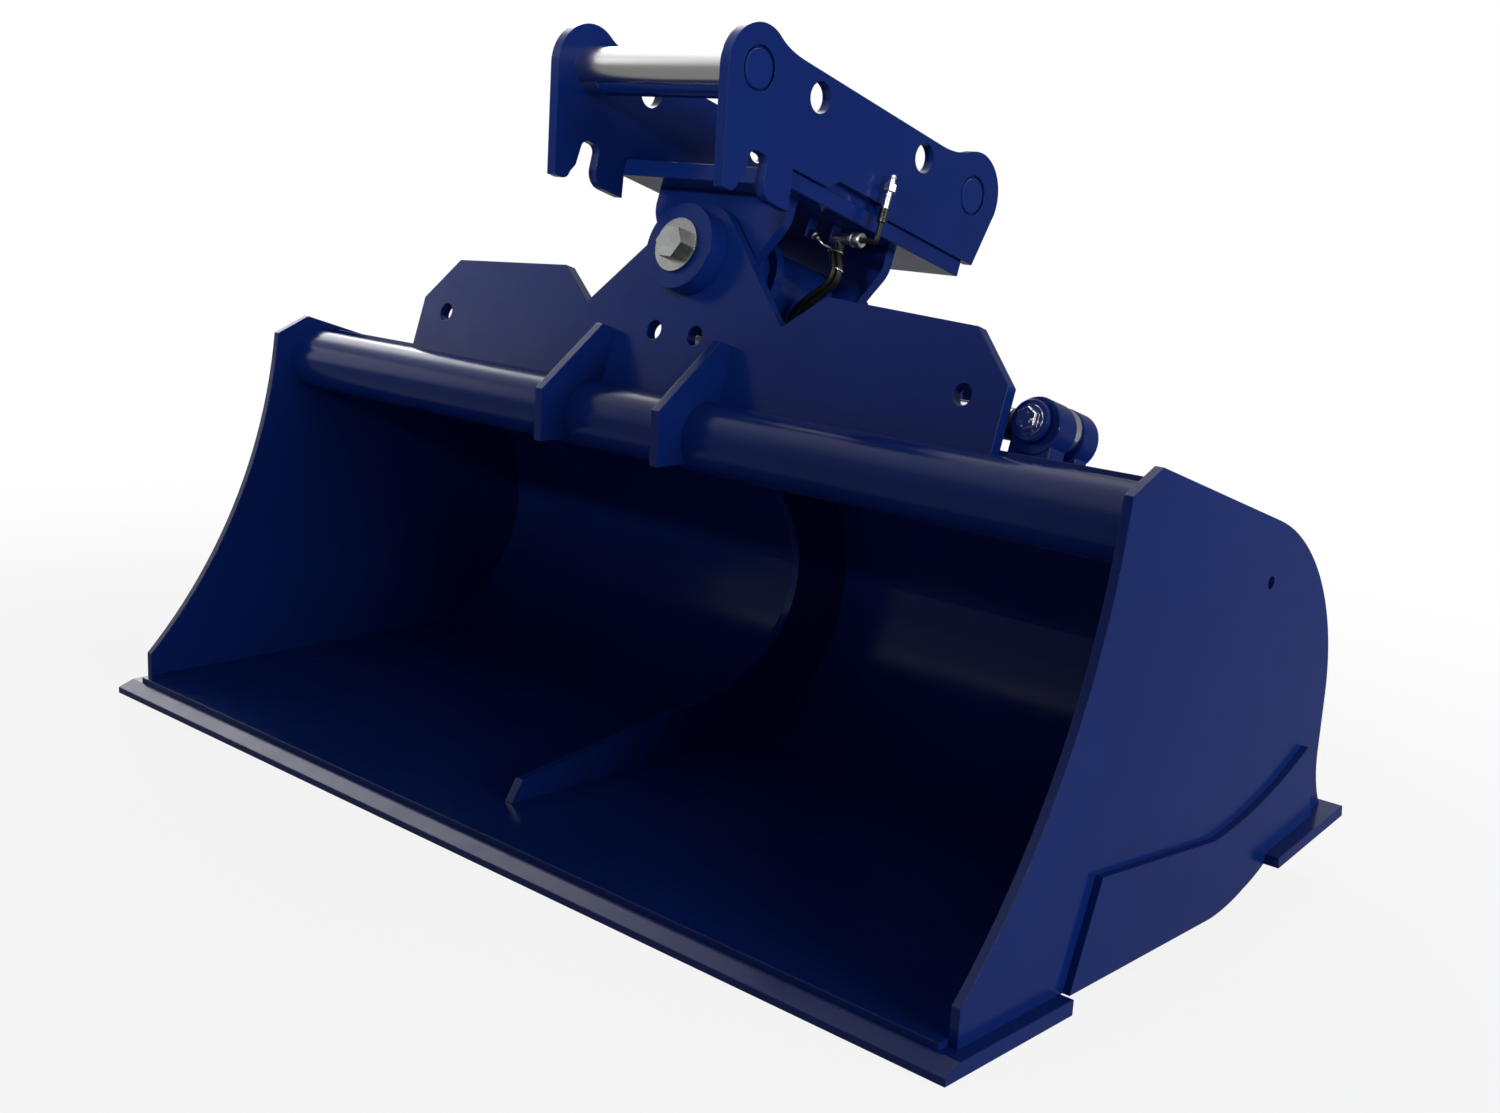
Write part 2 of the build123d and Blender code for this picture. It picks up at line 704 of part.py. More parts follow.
def cylinder_barrel():
    """Barrel tube, closed by a thick floor at the lever end, with two welded port bosses."""
    tube = round_x(barrel_dia, barrel_start, barrel_end, cylinder_s, cylinder_h)
    for x in (port_near_x, port_far_x):
        tube += round_s(port_boss_dia, cylinder_s + barrel_bore / 2, port_s, x, cylinder_h)
        tube -= round_s(port_bore, cylinder_s, port_s + 1, x, cylinder_h)
    tube -= round_x(barrel_bore, barrel_start + barrel_floor, barrel_end + 1, cylinder_s, cylinder_h)
    return tilted(tube)


port_near_x = barrel_start + port_inset_near
port_far_x = barrel_end - port_inset_far
port_s = cylinder_s + barrel_dia / 2 + port_boss_rise
pin_low_h = -lever_radius
pin_high_h = -lever_radius * cos(radians(tilt_limit))


def cylinder_link():
    """Forged end of the barrel. Its upright slot takes up the rise and fall of the lever pin."""
    s0 = cylinder_s - link_width / 2
    s1 = cylinder_s + link_width / 2
    slot_half = lever_pin_dia / 2 + slot_side_play
    slot_low = pin_low_h - lever_pin_dia / 2 - slot_end_play
    slot_high = pin_high_h + lever_pin_dia / 2 + slot_end_play
    left = -slot_half - link_wall
    shoulder = slot_half + link_wall
    top = slot_high + link_wall
    low = slot_low - link_wall
    barrel_top = cylinder_h + barrel_dia / 2
    face = polygon([(left, low + link_chamfer), (left + link_chamfer, low), (barrel_start, low),
                    (barrel_start, barrel_top), (shoulder + link_chamfer / 2, link_shoulder_h),
                    (shoulder, top - link_chamfer), (shoulder - link_chamfer, top),
                    (left + link_chamfer, top), (left, top - link_chamfer)])
    slot = Pos(0, (slot_low + slot_high) / 2) * Rot(0, 0, 90) * SlotOverall(slot_high - slot_low,
                                                                           2 * slot_half)
    link = slab_s(face, s0, s1) - slab_s(slot.face(), s0 - 1, s1 + 1)
    return tilted(link)


def cylinder_gland():
    """Screwed gland with flats at the rod end of the barrel."""
    x0 = barrel_end
    x1 = barrel_end + gland_length
    flats = RegularPolygon(gland_dia / 2 - 3, 8, major_radius=False)
    gland = Pos(x0, cylinder_s, cylinder_h) * Rot(0, 90, 0) * extrude(flats, amount=gland_length)
    gland &= round_x(gland_dia - 2, x0, x1, cylinder_s, cylinder_h)
    gland += round_x(barrel_bore - 2 * run_fit, x0 - gland_plug, x0 + 1, cylinder_s, cylinder_h)
    seat = round_x(rod_dia + 2 * wiper_wall, x1 - wiper_depth, x1 + 1, cylinder_s, cylinder_h)
    bore = round_x(rod_dia + 2 * run_fit, x0 - gland_plug - 1, x1 + 1, cylinder_s, cylinder_h)
    return tilted(gland - seat - bore)


def gland_wiper():
    """Wiper ring round the rod in the face of the gland."""
    x1 = barrel_end + gland_length
    x0 = x1 - wiper_depth
    outer = rod_dia + 2 * (wiper_wall - run_fit)
    ring = round_x(outer, x0, x1 + wiper_lip, cylinder_s, cylinder_h)
    bore = rod_dia + 3 * run_fit
    return tilted(ring - round_x(bore, x0 - 1, x1 + wiper_lip + 1, cylinder_s, cylinder_h))


def lug_face():
    """Hitch lug seen along the tilt axis: square to the base plate, drawn in to the hub."""
    corner_h = lug_corner_h
    reach = hypot(lug_half, corner_h)
    turn = degrees(atan2(corner_h, lug_half)) - degrees(acos(ear_radius / reach))
    right = on_circle(0, 0, ear_radius, turn)
    with BuildSketch() as sketch:
        with BuildLine():
            Line((-lug_half, base_bottom_h), (lug_half, base_bottom_h))
            Line((lug_half, base_bottom_h), (lug_half, corner_h))
            Line((lug_half, corner_h), right)
            ThreePointArc(right, (0, -ear_radius), (-right[0], right[1]))
            Line((-right[0], right[1]), (-lug_half, corner_h))
            Line((-lug_half, corner_h), (-lug_half, base_bottom_h))
        make_face()
    return sketch.face()


def hitch_lug(s0):
    """Plate under the base plate that carries one end of the hub."""
    lug = slab_s(lug_face(), s0, s0 + lug_thick)
    corner = [e for e in lug.edges().filter_by(Axis.Y) if abs(e.center().Z - lug_corner_h) < 0.5]
    lug = fillet(corner, lug_corner_round)
    return tilted(lug - round_s(hub_dia + 2 * weld_gap, s0 - 1, s0 + lug_thick + 1, 0, 0))


def pivot_hub():
    """Hub tube between and through the lugs, bored for its bushes."""
    hub = round_s(hub_dia, front_lug_s, front_lug_s + hub_length, 0, 0)
    bore = pivot_pin_dia + 2 * bush_wall
    hub -= round_s(bore, front_lug_s - 1, front_lug_s + bush_length, 0, 0)
    hub -= round_s(bore, front_lug_s + hub_length - bush_length, front_lug_s + hub_length + 1, 0, 0)
    hub -= round_s(pivot_pin_dia + 4, front_lug_s, front_lug_s + hub_length, 0, 0)
    return tilted(hub)


def thrust_washers():
    """Two washers that fill the gaps between the hub and the frame plates."""
    washers = []
    for s0 in (frame_plate, front_lug_s + hub_length):
        start = s0 + thrust_play
        ring = round_s(hub_dia, start, start + lug_gap - 2 * thrust_play, 0, 0)
        ring -= round_s(pivot_pin_dia + 2 * run_fit, s0, s0 + lug_gap, 0, 0)
        washers.append(tilted(ring))
    return Compound(children=washers)


def hub_bush(s0, s1):
    """Bearing bush in one end of the hub."""
    ring = round_s(pivot_pin_dia + 2 * bush_wall - 0.1, s0, s1, 0, 0)
    return tilted(ring - round_s(pivot_pin_dia + 2 * run_fit, s0 - 1, s1 + 1, 0, 0))


def lever_plate(s0):
    """Lever plate under the hub for the cylinder's pin."""
    hub_edge = hub_dia / 2 + weld_gap
    face = make_hull([*Edge.make_circle(hub_edge + lever_hub_wall).edges(),
                      *(Pos(0, -lever_radius) * Edge.make_circle(lever_eye_radius)).edges()])
    plate = slab_s(face, s0, s0 + lever_thick)
    plate -= round_s(2 * hub_edge, s0 - 1, s0 + lever_thick + 1, 0, 0)
    plate -= round_s(lever_pin_dia + run_fit, s0 - 1, s0 + lever_thick + 1, 0, -lever_radius)
    return tilted(plate)


def lever_pin():
    """Pin through the two lever plates and the slot of the cylinder's end."""
    reach = link_width / 2 + side_play + lever_thick
    head_s = cylinder_s - reach - 2 * lever_pin_end
    pin = round_s(lever_pin_dia, head_s, cylinder_s + reach + lever_pin_end, 0, -lever_radius)
    pin += round_s(lever_pin_dia + lever_pin_head, head_s, cylinder_s - reach, 0, -lever_radius)
    return tilted(pin)


def cheek_face():
    """Hitch cheek in (s, h): pin bosses, leg, locking notch, hook and arch."""
    boss = cheek_boss
    front_low = on_circle(front_pin_s, pin_h, boss, 180 + cheek_lean)
    top_angle = degrees(atan2(cheek_top_h - pin_h, sqrt(boss ** 2 - (cheek_top_h - pin_h) ** 2)))
    front_top = on_circle(front_pin_s, pin_h, boss, top_angle)
    rear_top = on_circle(rear_pin_s, pin_h, boss, 180 - top_angle)
    rear_low = on_circle(rear_pin_s, pin_h, boss, cheek_rear_angle)
    arch_h = base_top_h + arch_rise
    hook_s = base_front_s - hook_rear_run
    tip_s, tip_h = hook_s - hook_round, hook_low_h + hook_round
    notch_s = tip_s - notch_lead
    leg_s = notch_s - notch_wide
    toe_s = leg_s - leg_toe
    with BuildSketch() as sketch:
        with BuildLine():
            ThreePointArc(front_low, on_circle(front_pin_s, pin_h, boss, 120), front_top)
            Line(front_top, rear_top)
            ThreePointArc(rear_top, on_circle(rear_pin_s, pin_h, boss, 60), rear_low)
            Line(rear_low, (cheek_tail_s, base_top_h))
            Line((cheek_tail_s, base_top_h), (arch_rear_s, base_top_h))
            Line((arch_rear_s, base_top_h), (arch_rear_s - arch_ramp_rear, arch_h))
            Line((arch_rear_s - arch_ramp_rear, arch_h), (arch_front_s + arch_ramp_front, arch_h))
            Line((arch_front_s + arch_ramp_front, arch_h), (arch_front_s, base_top_h))
            Line((arch_front_s, base_top_h), (base_front_s, base_top_h))
            Line((base_front_s, base_top_h), (base_front_s, hook_low_h))
            Line((base_front_s, hook_low_h), (hook_s, hook_low_h))
            ThreePointArc((hook_s, hook_low_h), on_circle(hook_s, tip_h, hook_round, 225), (tip_s, tip_h))
            Line((tip_s, tip_h), (notch_s, notch_high_h))
            ThreePointArc((notch_s, notch_high_h), (notch_s - notch_wide / 2, notch_high_h + notch_wide / 2),
                          (leg_s, notch_high_h))
            Line((leg_s, notch_high_h), (leg_s - leg_slant, leg_low_h + toe_round))
            ThreePointArc((leg_s - leg_slant, leg_low_h + toe_round),
                          on_circle(leg_s - leg_slant - toe_round, leg_low_h + toe_round, toe_round, -45),
                          (leg_s - leg_slant - toe_round, leg_low_h))
            Line((leg_s - leg_slant - toe_round, leg_low_h), (toe_s, leg_low_h))
            Line((toe_s, leg_low_h), front_low)
        make_face()
    return sketch.face()


def hitch_cheek(sign):
    """Cheek plate of the hitch."""
    x0 = cheek_inner if sign > 0 else -cheek_outer
    plate = slab_x(cheek_face(), x0, x0 + cheek_thick)
    ring_x = x0 + cheek_thick - pin_ring_depth if sign > 0 else x0 - 1
    for s in (front_pin_s, rear_pin_s):
        plate -= round_x(pin_dia + 2 * run_fit, x0 - 1, x0 + cheek_thick + 1, s, pin_h)
        plate -= round_x(pin_dia + 2 * pin_ring, ring_x, ring_x + pin_ring_depth + 1, s, pin_h)
    for s in (lift_hole_front_s, lift_hole_rear_s):
        plate -= round_x(lift_hole_dia, x0 - 1, x0 + cheek_thick + 1, s, lift_hole_h)
    return tilted(plate)


def hitch_base_plate():
    """Base plate between and under the cheeks."""
    plate = block(-cheek_outer, cheek_outer, base_front_s, base_rear_s, base_bottom_h, base_top_h)
    return tilted(plate)


def hitch_pin(s):
    """Round pin across the cheeks, flush with their outer faces."""
    pin = round_x(pin_dia, -cheek_outer, cheek_outer, s, pin_h)
    return tilted(chamfer(pin.edges(), pin_ring_depth))


def saddle_bar(x0, x1):
    """Crescent bar that backs the front pin between the cheeks."""
    bar = round_x(pin_dia, x0, x1, front_pin_s + saddle_shift_s, pin_h + saddle_shift_h)
    bar -= round_x(pin_dia + 2 * saddle_gap, x0 - 1, x1 + 1, front_pin_s, pin_h)
    return bar


def pin_saddle():
    """Middle of the backing bar."""
    return tilted(saddle_bar(-cheek_inner + saddle_end, cheek_inner - saddle_end))


def pin_saddle_ends():
    """Two end pieces of the backing bar, bare steel."""
    left = saddle_bar(-cheek_inner, -cheek_inner + saddle_end)
    right = saddle_bar(cheek_inner - saddle_end, cheek_inner)
    return tilted(Compound(children=[left, right]))


# Hose fittings on the hitch, in the leaning axes (x, s, h)
sleeve_s = 131.0
sleeve_h = 67.0
sleeve_x0 = 90.0
sleeve_x1 = 137.0
sleeve_dia = 13.0
sleeve_ring_dia = 20.0
second_s = 106.0
second_h = 60.0
elbow_x = 159.0
elbow_dia = 9.0
elbow_rise = 23.0
elbow_bend = 12.0
coupling_ferrule_length = 18.0
drop_x = 97.0              # where both hoses turn down
drop_length = 14.0
block_x = 8.0
block_s = 180.0
block_width = 72.0
block_deep = 34.0
block_high = 54.0
block_union = 9.0
block_port_spacing = 30.0


def hose_sleeve():
    """Steel union under the edge of the base plate, with a ring nut at its outer end."""
    body = round_x(sleeve_dia, sleeve_x0, sleeve_x1 - 2, sleeve_s, sleeve_h)
    body += round_x(sleeve_ring_dia, sleeve_x1 - sleeve_ring_length, sleeve_x1, sleeve_s, sleeve_h)
    body += round_z(sleeve_dia, sleeve_h - drop_length, sleeve_h, drop_x, sleeve_s)
    return tilted(body - round_x(elbow_dia, sleeve_x1 - sleeve_socket, sleeve_x1 + 1, sleeve_s, sleeve_h))


def second_union():
    """Second steel union, beside the first and a little lower, turned down at its end."""
    end_x = drop_x - second_reach
    body = round_x(sleeve_dia, end_x, drop_x + sleeve_socket, second_s, second_h)
    nut = RegularPolygon(second_nut_flats / 2, 6, major_radius=False)
    body += Pos(end_x, second_s, second_h) * Rot(0, 90, 0) * extrude(nut, amount=second_nut_length)
    body += round_z(sleeve_dia, second_h - drop_length, second_h, drop_x, second_s)
    return tilted(body)


def union_clips():
    """Two clip blocks that hang the unions from the base plate."""
    clips = []
    for x, s, h in ((drop_x + clip_thick, sleeve_s, sleeve_h), (drop_x - 2 * clip_thick, second_s, second_h)):
        clip = block(x, x + clip_thick, s - clip_width / 2, s + clip_width / 2, h - clip_drop, base_bottom_h)
        clips.append(clip - round_x(sleeve_dia + weld_gap, x - 1, x + clip_thick + 1, s, h))
    return tilted(Compound(children=clips))


def hose_elbow():
    """Short hose from the first union round the edge of the base plate, up to the coupling."""
    start = (sleeve_x1 - sleeve_socket, sleeve_s, sleeve_h)
    knee = (elbow_x, sleeve_s, sleeve_h)
    end = (elbow_x, sleeve_s, sleeve_h + elbow_rise)
    path = FilletPolyline(start, knee, end, radius=elbow_bend)
    section = Plane(origin=start, z_dir=(1, 0, 0)) * Circle(elbow_dia / 2)
    return tilted(sweep(section, path=path))


def coupling_ferrule():
    """Crimped ferrule under the coupling."""
    base = sleeve_h + elbow_rise
    return tilted(round_z(ferrule_dia, base, base + coupling_ferrule_length, elbow_x, sleeve_s))


def hose_coupling():
    """Male quick coupling outside the near cheek: stem, nut and nipple."""
    base = sleeve_h + elbow_rise + coupling_ferrule_length
    nut_base = base + coupling_stem_length
    nut_end = nut_base + coupling_nut_length
    hexagon = RegularPolygon(coupling_nut_flats / 2, 6, major_radius=False)
    stem = round_z(coupling_stem_dia, base, nut_base, 0, 0)
    nut = Pos(0, 0, nut_base) * extrude(hexagon, amount=coupling_nut_length)
    nipple = round_z(coupling_nipple_dia, nut_end, nut_end + coupling_nipple_length, 0, 0)
    return tilted(Pos(elbow_x, sleeve_s, 0) * (stem + nut + nipple))


def junction_block():
    """Steel block on the deck that joins the hitch's hoses to the cylinder's hoses."""
    body = block(block_x - block_width / 2, block_x + block_width / 2, block_s - block_deep / 2,
                 block_s + block_deep / 2, deck_h, deck_h + block_high)
    return tilted(chamfer(body.edges().filter_by(Axis.Z), block_chamfer))


def union_hexagon():
    """Hexagon outline of a hose union."""
    return RegularPolygon(union_flats / 2, 6, major_radius=False)


def junction_unions():
    """Screwed unions of the block: two on top, two on the side towards the cylinder."""
    unions = []
    top = deck_h + block_high
    side = block_x + block_width / 2
    for x in (block_x - block_port_spacing / 2, block_x + block_port_spacing / 2):
        unions.append(tilted(Pos(x, block_s, top) * extrude(union_hexagon(), amount=block_union)))
    for h in (far_hose_h, near_hose_h):
        nut = Rot(0, 90, 0) * extrude(union_hexagon(), amount=block_union)
        unions.append(tilted(Pos(side, block_s, h) * nut))
    return Compound(children=unions)


def barrel_fittings():
    """Fittings screwed on the two ports of the barrel."""
    fittings = []
    for x in (port_near_x, port_far_x):
        nut = slab_s(Pos(x, cylinder_h) * union_hexagon(), port_s, port_s + port_nut_length)
        fittings.append(tilted(nut + round_s(sleeve_dia, port_s, port_s + port_reach, x, cylinder_h)))
    return Compound(children=fittings)


block_union_h = deck_h + block_high + block_union
far_hose_h = deck_h + 13.0
near_hose_h = cylinder_h


def hose(points):
    """Hose of straight runs joined by tangent arcs, in the leaning axes."""
    path = FilletPolyline(*points, radius=arc_radii(points))
    along = Vector(*points[1]) - Vector(*points[0])
    section = Plane(origin=points[0], z_dir=along) * Circle(hose_dia / 2)
    return tilted(sweep(section, path=path))


def arc_radii(points):
    """Largest radius that each corner's two runs allow."""
    radii = []
    for before, corner, after in zip(points, points[1:], points[2:]):
        run_in = Vector(*corner) - Vector(*before)
        run_out = Vector(*after) - Vector(*corner)
        half_turn = radians(run_in.get_angle(run_out)) / 2
        radii.append(0.45 * min(run_in.length, run_out.length) / tan(half_turn))
    return radii


def hitch_hose_front():
    """Hose from the second union, bulging outwards, then under the hub to the junction block."""
    port_x = block_x - block_port_spacing / 2
    start_h = second_h - drop_length
    return hose([(drop_x, second_s, start_h),
                 (drop_x, second_s, start_h - 13),
                 (drop_x + 13, second_s + 4, start_h - 32),
                 (drop_x + 1, second_s + 10, start_h - 52),
                 (66, 124, -28),
                 (34, 138, -50),
                 (4, 162, -64),
                 (port_x, block_s, block_union_h + 20),
                 (port_x, block_s, block_union_h)])


def hitch_hose_rear():
    """Hose from the first union, beside the other one."""
    port_x = block_x + block_port_spacing / 2
    start_h = sleeve_h - drop_length
    return hose([(drop_x, sleeve_s, start_h),
                 (drop_x, sleeve_s, start_h - 13),
                 (drop_x + 15, sleeve_s, start_h - 31),
                 (drop_x + 5, sleeve_s + 1, start_h - 53),
                 (70, 136, -20),
                 (44, 148, -38),
                 (27, 170, -58),
                 (port_x, block_s, block_union_h + 20),
                 (port_x, block_s, block_union_h)])


def near_hose():
    """Hose from the block to the port at the closed end of the barrel."""
    start = block_x + block_width / 2 + block_union
    return hose([(start, block_s, near_hose_h),
                 (port_near_x, block_s, near_hose_h),
                 (port_near_x, port_s + port_reach, cylinder_h)])


def far_hose():
    """Hose from the block along the deck to the port at the gland end of the barrel."""
    start = block_x + block_width / 2 + block_union
    return hose([(start, block_s, far_hose_h),
                 (start + 50, block_s, far_hose_h),
                 (start + 110, block_s + 9, far_hose_h + 4),
                 (start + 170, block_s + 14, far_hose_h + 12),
                 (port_far_x - 28, block_s + 10, cylinder_h - 5),
                 (port_far_x, block_s - 14, cylinder_h),
                 (port_far_x, port_s + port_reach, cylinder_h)])


def save(name, shape):
    """Write one node."""
    export_step(shape, os.path.join("parts", name + ".step"))


save("cutting_edge", cutting_edge())
save("shell_plate", shell_plate())
save("side_plate_left", side_plate(-1))
save("side_plate_right", side_plate(1))
save("side_wear_plate_left", side_wear_plate(-1))
save("side_wear_plate_right", side_wear_plate(1))
save("torsion_tube", torsion_tube())
save("heel_blade", heel_blade())
save("skid_bars", skid_bars())
save("centre_rib", centre_rib())
save("tube_gusset_left", tube_gusset(gusset_left_x))
save("tube_gusset_right", tube_gusset(gusset_right_x))
save("frame_front_plate", frame_front_plate())
save("frame_rear_plate", frame_rear_plate())
save("pivot_collar_front", pivot_collar(-collar_length, 0))
save("pivot_collar_rear", pivot_collar(frame_length, frame_length + rear_collar_length))
save("pivot_pin", pivot_pin())
save("pivot_washers", Compound(children=[pivot_washer(True), pivot_washer(False)]))
save("pivot_bolts", Compound(children=[pivot_bolt(True), pivot_bolt(False)]))
save("thrust_washers", thrust_washers())
save("rod_bracket_front", rod_bracket(front_ear_s0, front_ear_s1))
save("rod_bracket_rear", rod_bracket(rear_ear_s0, rear_ear_s1))
save("rod_pin", rod_pin())
save("rod_pin_collar", rod_pin_collar())
save("cylinder_rod", cylinder_rod())
save("rod_eye_bush", rod_eye_bush())
save("piston", piston())
save("piston_seal", piston_seal())
save("junction_block", junction_block())
save("junction_unions", junction_unions())
save("cylinder_hose_near", near_hose())
save("cylinder_hose_far", far_hose())
save("cylinder_barrel", cylinder_barrel())
save("cylinder_link", cylinder_link())
save("cylinder_gland", cylinder_gland())
save("gland_wiper", gland_wiper())
save("barrel_fittings", barrel_fittings())
save("hitch_cheek_left", hitch_cheek(-1))
save("hitch_cheek_right", hitch_cheek(1))
save("hitch_base_plate", hitch_base_plate())
save("front_hitch_pin", hitch_pin(front_pin_s))
save("rear_hitch_pin", hitch_pin(rear_pin_s))
save("pin_saddle", pin_saddle())
save("pin_saddle_ends", pin_saddle_ends())
save("hitch_lug_front", hitch_lug(front_lug_s))
save("hitch_lug_rear", hitch_lug(rear_lug_s))
save("pivot_hub", pivot_hub())
save("hub_bush_front", hub_bush(front_lug_s, front_lug_s + bush_length))
save("hub_bush_rear", hub_bush(front_lug_s + hub_length - bush_length, front_lug_s + hub_length))
save("lever_plate_front", lever_plate(cylinder_s - link_width / 2 - side_play - lever_thick))
save("lever_plate_rear", lever_plate(cylinder_s + link_width / 2 + side_play))
save("lever_pin", lever_pin())
save("hose_sleeve", hose_sleeve())
save("second_union", second_union())
save("union_clips", union_clips())
save("hose_elbow", hose_elbow())
save("coupling_ferrule", coupling_ferrule())
save("hose_coupling", hose_coupling())
save("hitch_hose_front", hitch_hose_front())
save("hitch_hose_rear", hitch_hose_rear())
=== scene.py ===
"""The looks of a tilt ditching bucket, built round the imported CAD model. All lengths are in metres."""

import json
import math

import bmesh
import bpy
from mathutils import Matrix, Vector


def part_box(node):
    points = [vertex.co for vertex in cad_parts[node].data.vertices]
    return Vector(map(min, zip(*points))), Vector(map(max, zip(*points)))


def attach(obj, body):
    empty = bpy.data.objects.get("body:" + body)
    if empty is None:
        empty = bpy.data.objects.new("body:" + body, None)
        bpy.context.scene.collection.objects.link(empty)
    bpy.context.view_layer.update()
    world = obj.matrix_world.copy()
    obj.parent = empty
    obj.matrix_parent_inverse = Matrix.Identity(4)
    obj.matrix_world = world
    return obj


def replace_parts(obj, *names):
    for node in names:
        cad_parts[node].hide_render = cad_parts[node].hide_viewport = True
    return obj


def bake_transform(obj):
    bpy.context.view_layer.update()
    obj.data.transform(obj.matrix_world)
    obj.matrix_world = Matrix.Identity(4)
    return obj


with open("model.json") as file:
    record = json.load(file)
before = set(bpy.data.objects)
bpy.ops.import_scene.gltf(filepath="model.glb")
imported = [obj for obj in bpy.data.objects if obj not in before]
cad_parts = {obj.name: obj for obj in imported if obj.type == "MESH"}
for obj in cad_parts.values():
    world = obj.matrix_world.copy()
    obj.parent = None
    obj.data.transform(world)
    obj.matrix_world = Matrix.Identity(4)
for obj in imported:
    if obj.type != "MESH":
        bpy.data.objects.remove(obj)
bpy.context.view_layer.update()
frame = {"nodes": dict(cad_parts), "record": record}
nodes = frame["nodes"]

# The leaning frame of the tilt pivot: x across, s from front to rear along the pin, h square to it
LEAN = math.radians(17.5)
PIVOT = Vector((0, 0.3727, 0.656))
ALONG = Vector((0, math.cos(LEAN), -math.sin(LEAN)))
UP = Vector((0, math.sin(LEAN), math.cos(LEAN)))
ACROSS = Vector((1, 0, 0))

CYLINDER_HOSE_RADIUS = 0.0065
HITCH_HOSE_RADIUS = 0.0040
HOSE_SIDES = 20
ROUND, HEXAGON = 40, 6
SHARP_ANGLE = math.radians(35)
BLOCK_ROUNDING = 0.0008


def leaning(x, s, h):
    """A point of the leaning frame, in the row frame."""
    return PIVOT + ACROSS * x + ALONG * s + UP * h


# Camera at the photograph's place. Lengths of lens and sensor are in millimetres.

CAMERA_PLACE = Vector((1.5199, -1.16895, 0.7798))
CAMERA_YAW = math.radians(42.34)
CAMERA_PITCH = math.radians(12.80)
CAMERA_ROLL = math.radians(3.08)
CAMERA_LENS = 42.93
SENSOR_WIDTH = 36.0
CAMERA_NEAR, CAMERA_FAR = 0.01, 200


def add_camera():
    ahead = Vector(
        (
            -math.sin(CAMERA_YAW) * math.cos(CAMERA_PITCH),
            math.cos(CAMERA_YAW) * math.cos(CAMERA_PITCH),
            -math.sin(CAMERA_PITCH),
        )
    )
    level_right = ahead.cross(Vector((0, 0, 1))).normalized()
    level_up = level_right.cross(ahead)
    right = math.cos(CAMERA_ROLL) * level_right + math.sin(CAMERA_ROLL) * level_up
    up = math.cos(CAMERA_ROLL) * level_up - math.sin(CAMERA_ROLL) * level_right
    data = bpy.data.cameras.new("camera")
    data.sensor_fit = "HORIZONTAL"
    data.sensor_width = SENSOR_WIDTH
    data.lens = CAMERA_LENS
    data.clip_start = CAMERA_NEAR
    data.clip_end = CAMERA_FAR
    camera = bpy.data.objects.new("camera", data)
    camera.matrix_world = Matrix.Translation(CAMERA_PLACE) @ Matrix((right, up, -ahead)).transposed().to_4x4()
    bpy.context.scene.collection.objects.link(camera)
    bpy.context.scene.camera = camera


# Stage, world and lamps

AMBIENT_COLOUR, AMBIENT_STRENGTH = (0.86, 0.93, 1.0, 1), 0.19
WHITE = (1, 1, 1, 1)

# The mirrored sky is dim at the horizon, and brightens between two heights of the direction
SKY_LOW, SKY_HIGH = 0.30, 2.1
SKY_FROM, SKY_TO = 0.30, 0.75

# Soft boxes that only reflections see: direction, strength, cosines of their outer and inner edge
REFLECTED_BOXES = [
    ((-0.90, -0.38, 0.24), 2.3, 0.955, 0.972),
    ((-0.60, -0.73, 0.33), 0.25, 0.93, 0.99),
    ((-0.81, 0.33, 0.46), 5.5, 0.93, 0.985),
]

FLOOR_SIZE, FLOOR_DROP = 40.0, 0.0005
FLOOR_COLOUR = (0.85, 0.85, 0.86, 1)

# Share of plain white in the floor, near the object and far from it, and where it changes
FLOOR_WHITE_NEAR, FLOOR_WHITE_FAR = 0.86, 1.0
FLOOR_FADE_FROM, FLOOR_FADE_TO = 0.9, 2.4

# Name, place, target, width, height, power in watts, spread in degrees
LAMPS = [
    ("key_right", (6.0, 0.3, 1.5), (0.6, 0.35, 0.4), 3.0, 2.0, 178, 180),
    ("front_high", (0.9, -3.2, 2.2), (0, 0.35, 0.85), 2.0, 0.35, 2.0, 14),
    ("top_rear", (0.2, 1.9, 3.2), (0, 0.4, 0.5), 2.4, 1.0, 16, 180),
    ("rear_left", (-3.0, 2.6, 2.2), (0, 0.4, 0.4), 1.6, 1.6, 30, 180),
]


def calculated(tree, operation, first, second):
    """Result of a calculation with two of the tree's values."""
    node = tree.nodes.new("ShaderNodeMath")
    node.operation = operation
    tree.links.new(first, node.inputs[0])
    tree.links.new(second, node.inputs[1])
    return node.outputs[0]


def larger(tree, first, second):
    return calculated(tree, "MAXIMUM", first, second)


def summed(tree, first, second):
    return calculated(tree, "ADD", first, second)


def mapped(tree, value, from_low, from_high, to_low, to_high):
    """The value's range laid out smoothly over another."""
    node = tree.nodes.new("ShaderNodeMapRange")
    node.interpolation_type = "SMOOTHSTEP"
    node.inputs["From Min"].default_value = from_low
    node.inputs["From Max"].default_value = from_high
    node.inputs["To Min"].default_value = to_low
    node.inputs["To Max"].default_value = to_high
    tree.links.new(value, node.inputs["Value"])
    return node.outputs["Result"]


